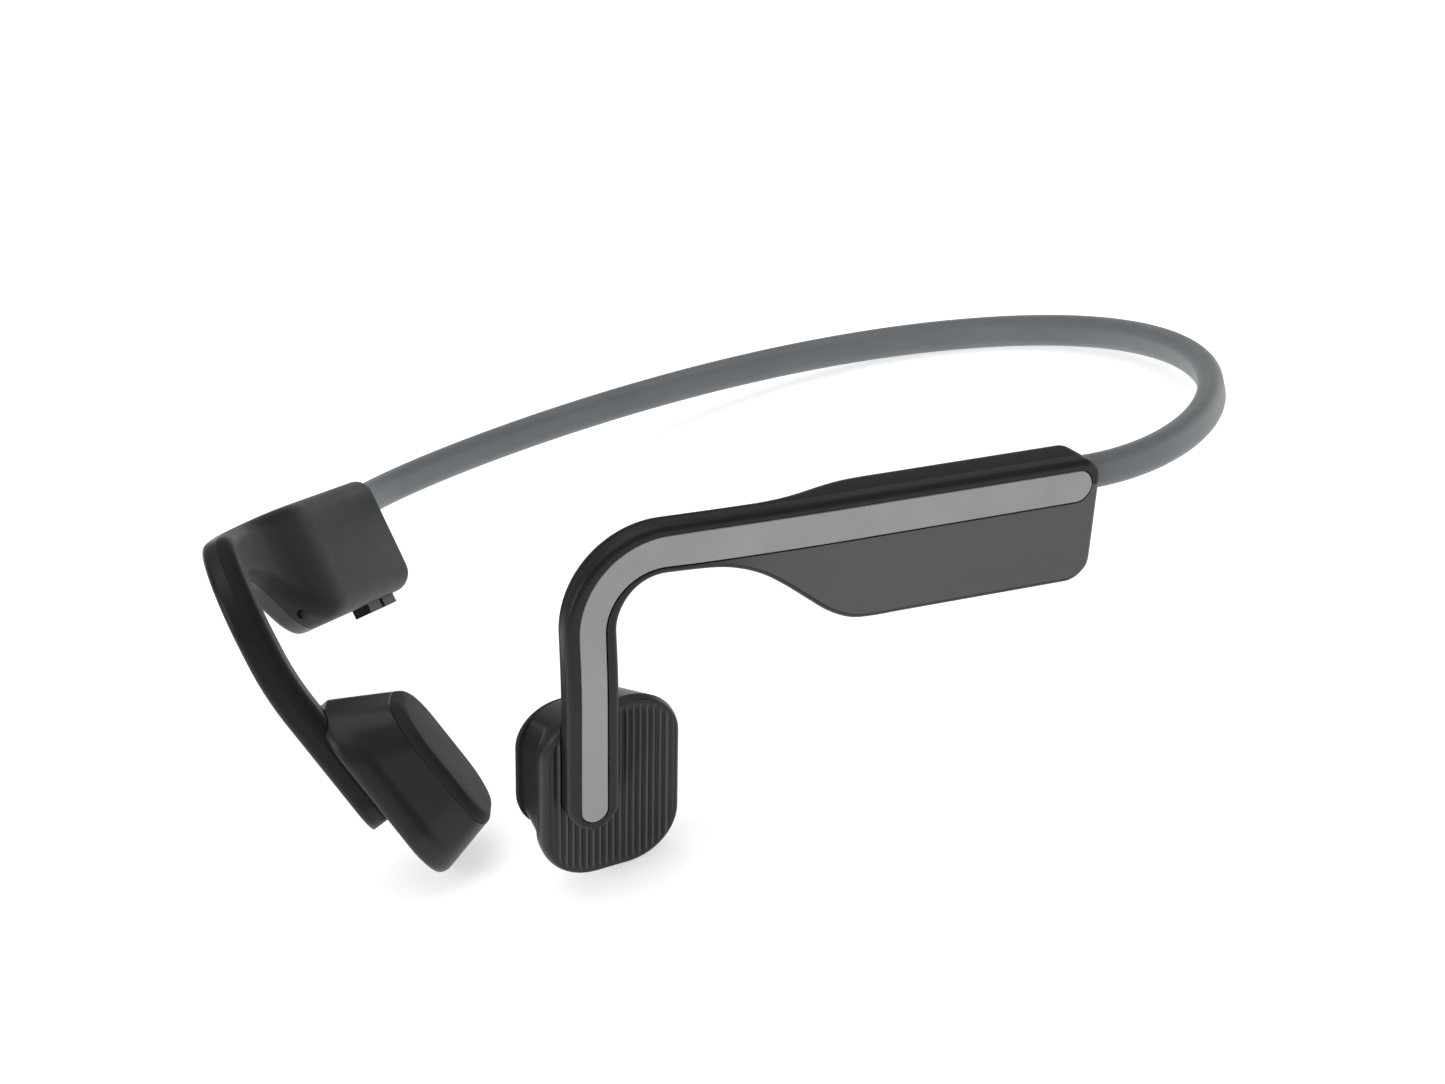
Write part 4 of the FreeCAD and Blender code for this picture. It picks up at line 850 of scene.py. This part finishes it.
def finish_piece(piece, body, node):
    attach(piece, body)
    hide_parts(node)


def arm_clearance(side):
    """The hook's own form, a little larger, for cutting its seat in the transducer."""
    places = (between_stops([CLEARANCE_START, HOOK_LENGTH - HOOK_HALF], 0.8)
              + closing(HOOK_LENGTH - HOOK_HALF, HOOK_LENGTH + FIT_GAP - 0.02, 14)[1:])
    return sweep("cutter", [strip_ring(place, inner_section(place, FIT_GAP)) for place in places],
                 side, None)


def build_pad(label, side):
    """The soft contact plate, a little crowned."""
    start = TRANSDUCER_THICK - PAD_THICK
    levels = [(start, 0.12), (start + 0.12, 0.0), (start + 0.4, 0.0)]
    for step in range(1, 9):
        angle = math.radians(90 * step / 8)
        levels.append((TRANSDUCER_THICK - 0.12 - PAD_ROUND * (1 - math.sin(angle)),
                       PAD_ROUND * (1 - math.cos(angle))))
    levels += [(TRANSDUCER_THICK - 0.12 * (1 - step / 6) ** 2, PAD_ROUND + 6.2 * step / 6)
               for step in range(1, 7)]
    rings = [spread_ring([face_point(x, y, depth) for x, y in outline(depth, inset)])
             for depth, inset in levels]
    piece = sweep(f"{label}_cheek_pad", rings, side, MATERIALS["pad_silicone"])
    finish_piece(piece, f"{label}_side", f"{label}_contact_pad")


def plate_half_tall(x):
    """Half the height of the ribbed plate at a distance forward of its middle."""
    wide, tall, corner = PLATE
    into_corner = abs(x) - (wide / 2 - corner)
    if into_corner <= 0:
        return tall / 2
    return tall / 2 - corner + math.sqrt(max(0.0, corner ** 2 - into_corner ** 2))


def build_ribbed_plate(label, side, body, node, thick):
    """The ribbed outer face: upright ribs that fade out towards a soft edge."""
    wide, tall, _ = PLATE
    half = wide / 2
    columns = [half * math.sin(math.pi / 2 * index / 110) for index in range(-110, 111)]
    rows = 60
    points, faces, highlight_shares = [], [], []
    for x in columns:
        reach = plate_half_tall(x)
        for row in range(rows + 1):
            y = reach * math.sin(math.pi / 2 * (2 * row / rows - 1))
            edge = min(half - abs(x), reach - abs(y))
            fade = flowing(edge, [0.15, RIB_FADE], [0.0, 1.0])
            groove = (0.5 - 0.5 * math.cos(2 * math.pi * x / RIB_PITCH)) ** 0.8
            crown = PLATE_CROWN * (1 - min(1.0, edge / 2.6)) ** 2
            points.append((x, y, crown + RIB_TALL * fade * groove))
            # Painted highlight on the rib crests, strongest where the groove is shallowest, fading
            # with the ribs.
            highlight_shares.append(fade * max(0.0, 1 - groove * 1.6))
    count = rows + 1
    for column in range(len(columns) - 1):
        for row in range(rows):
            first = column * count + row
            faces.append((first, first + 1, first + count + 1, first + count))
    rim = ([column * count for column in range(len(columns))]
           + [(len(columns) - 1) * count + row for row in range(1, rows + 1)]
           + [column * count + rows for column in range(len(columns) - 2, -1, -1)]
           + [row for row in range(rows - 1, 0, -1)])
    base = len(points)
    points += [(points[index][0], points[index][1], thick) for index in rim]
    highlight_shares += [0.0] * len(rim)
    for place in range(len(rim)):
        following = (place + 1) % len(rim)
        faces.append((rim[place], rim[following], base + following, base + place))
    faces.append(tuple(base + place for place in range(len(rim))))
    laid = [to_row(face_point(x, y, z), side) for x, y, z in points]
    piece = link_mesh(f"{label}_ribbed_face", laid, faces, MATERIALS["ribbed"])
    set_painted_highlight(piece, highlight_shares)
    merge_close(piece)
    cut_away(piece, arm_clearance(side))
    finish_piece(piece, body, node)


def merge_close(piece):
    """Weld points that fall on each other, where a column shrinks to nothing."""
    shape = bmesh.new()
    shape.from_mesh(piece.data)
    bmesh.ops.remove_doubles(shape, verts=shape.verts, dist=1e-7)
    bmesh.ops.recalc_face_normals(shape, faces=shape.faces)
    shape.to_mesh(piece.data)
    shape.free()


def build_transducers():
    for side, label in ((1, "left"), (-1, "right")):
        build_housing(label, side)
        build_pad(label, side)
    build_ribbed_plate("left", 1, "function_button", "left_function_button", BUTTON_THICK)
    build_ribbed_plate("right", -1, "right_side", "right_ribbed_cover", COVER_THICK)


# Stage -------------------------------------------------------------------------------------

def build_floor():
    """A pale table top, large enough to fill every view."""
    material = bpy.data.materials.new("pale_floor")
    material.use_nodes = True
    shader = material.node_tree.nodes["Principled BSDF"]
    shader.inputs["Base Color"].default_value = (0.92, 0.92, 0.92, 1.0)
    shader.inputs["Roughness"].default_value = 0.8
    shader.inputs["Specular IOR Level"].default_value = 0.1
    shader.inputs["Emission Color"].default_value = (1.0, 1.0, 1.0, 1.0)
    shader.inputs["Emission Strength"].default_value = 0.60
    reach = 4.0
    corners = [(-reach, -reach, -0.0001), (reach, -reach, -0.0001),
               (reach, reach, -0.0001), (-reach, reach, -0.0001)]
    floor = link_mesh("floor", corners, [(0, 1, 2, 3)], material)


def add_softbox(name, place, aim, wide, tall, power):
    light = bpy.data.lights.new(name, "AREA")
    light.shape = "RECTANGLE"
    light.size = wide
    light.size_y = tall
    light.energy = power
    lamp = bpy.data.objects.new(name, light)
    bpy.context.scene.collection.objects.link(lamp)
    lamp.location = place
    lamp.rotation_mode = "QUATERNION"
    lamp.rotation_quaternion = (Vector(aim) - Vector(place)).to_track_quat("-Z", "Y")


def build_lights():
    world = bpy.data.worlds.new("studio")
    bpy.context.scene.world = world
    world.use_nodes = True
    backdrop = world.node_tree.nodes["Background"]
    backdrop.inputs["Color"].default_value = (1.0, 1.0, 1.0, 1.0)
    backdrop.inputs["Strength"].default_value = 0.32
    add_softbox("overhead", (0.0, 0.15, 1.20), (0, 0, 0), 1.5, 1.5, 7.0)
    add_softbox("front_left", (-0.55, -0.75, 0.50), (0, 0, 0.02), 0.4, 0.4, 2.0)


def build_camera():
    azimuth, elevation, roll = map(math.radians, (AZIMUTH, ELEVATION, ROLL))
    back = Vector((math.sin(azimuth) * math.cos(elevation),
                   -math.cos(azimuth) * math.cos(elevation), math.sin(elevation)))
    level_right = Vector((math.cos(azimuth), math.sin(azimuth), 0))
    level_up = back.cross(level_right)
    right = level_right * math.cos(roll) + level_up * math.sin(roll)
    above = level_up * math.cos(roll) - level_right * math.sin(roll)
    lens = bpy.data.cameras.new("camera")
    lens.lens = LENS
    lens.sensor_width = 36.0
    lens.clip_start = 0.01
    camera = bpy.data.objects.new("camera", lens)
    bpy.context.scene.collection.objects.link(camera)
    turn = Matrix((right, above, back)).transposed().to_4x4()
    camera.matrix_world = Matrix.Translation(TARGET + back * DISTANCE) @ turn
    bpy.context.scene.camera = camera


bpy.context.scene.view_settings.view_transform = "Standard"
paint_nodes()
build_neckband()
build_shells()
build_transducers()
build_floor()
build_lights()
build_camera()
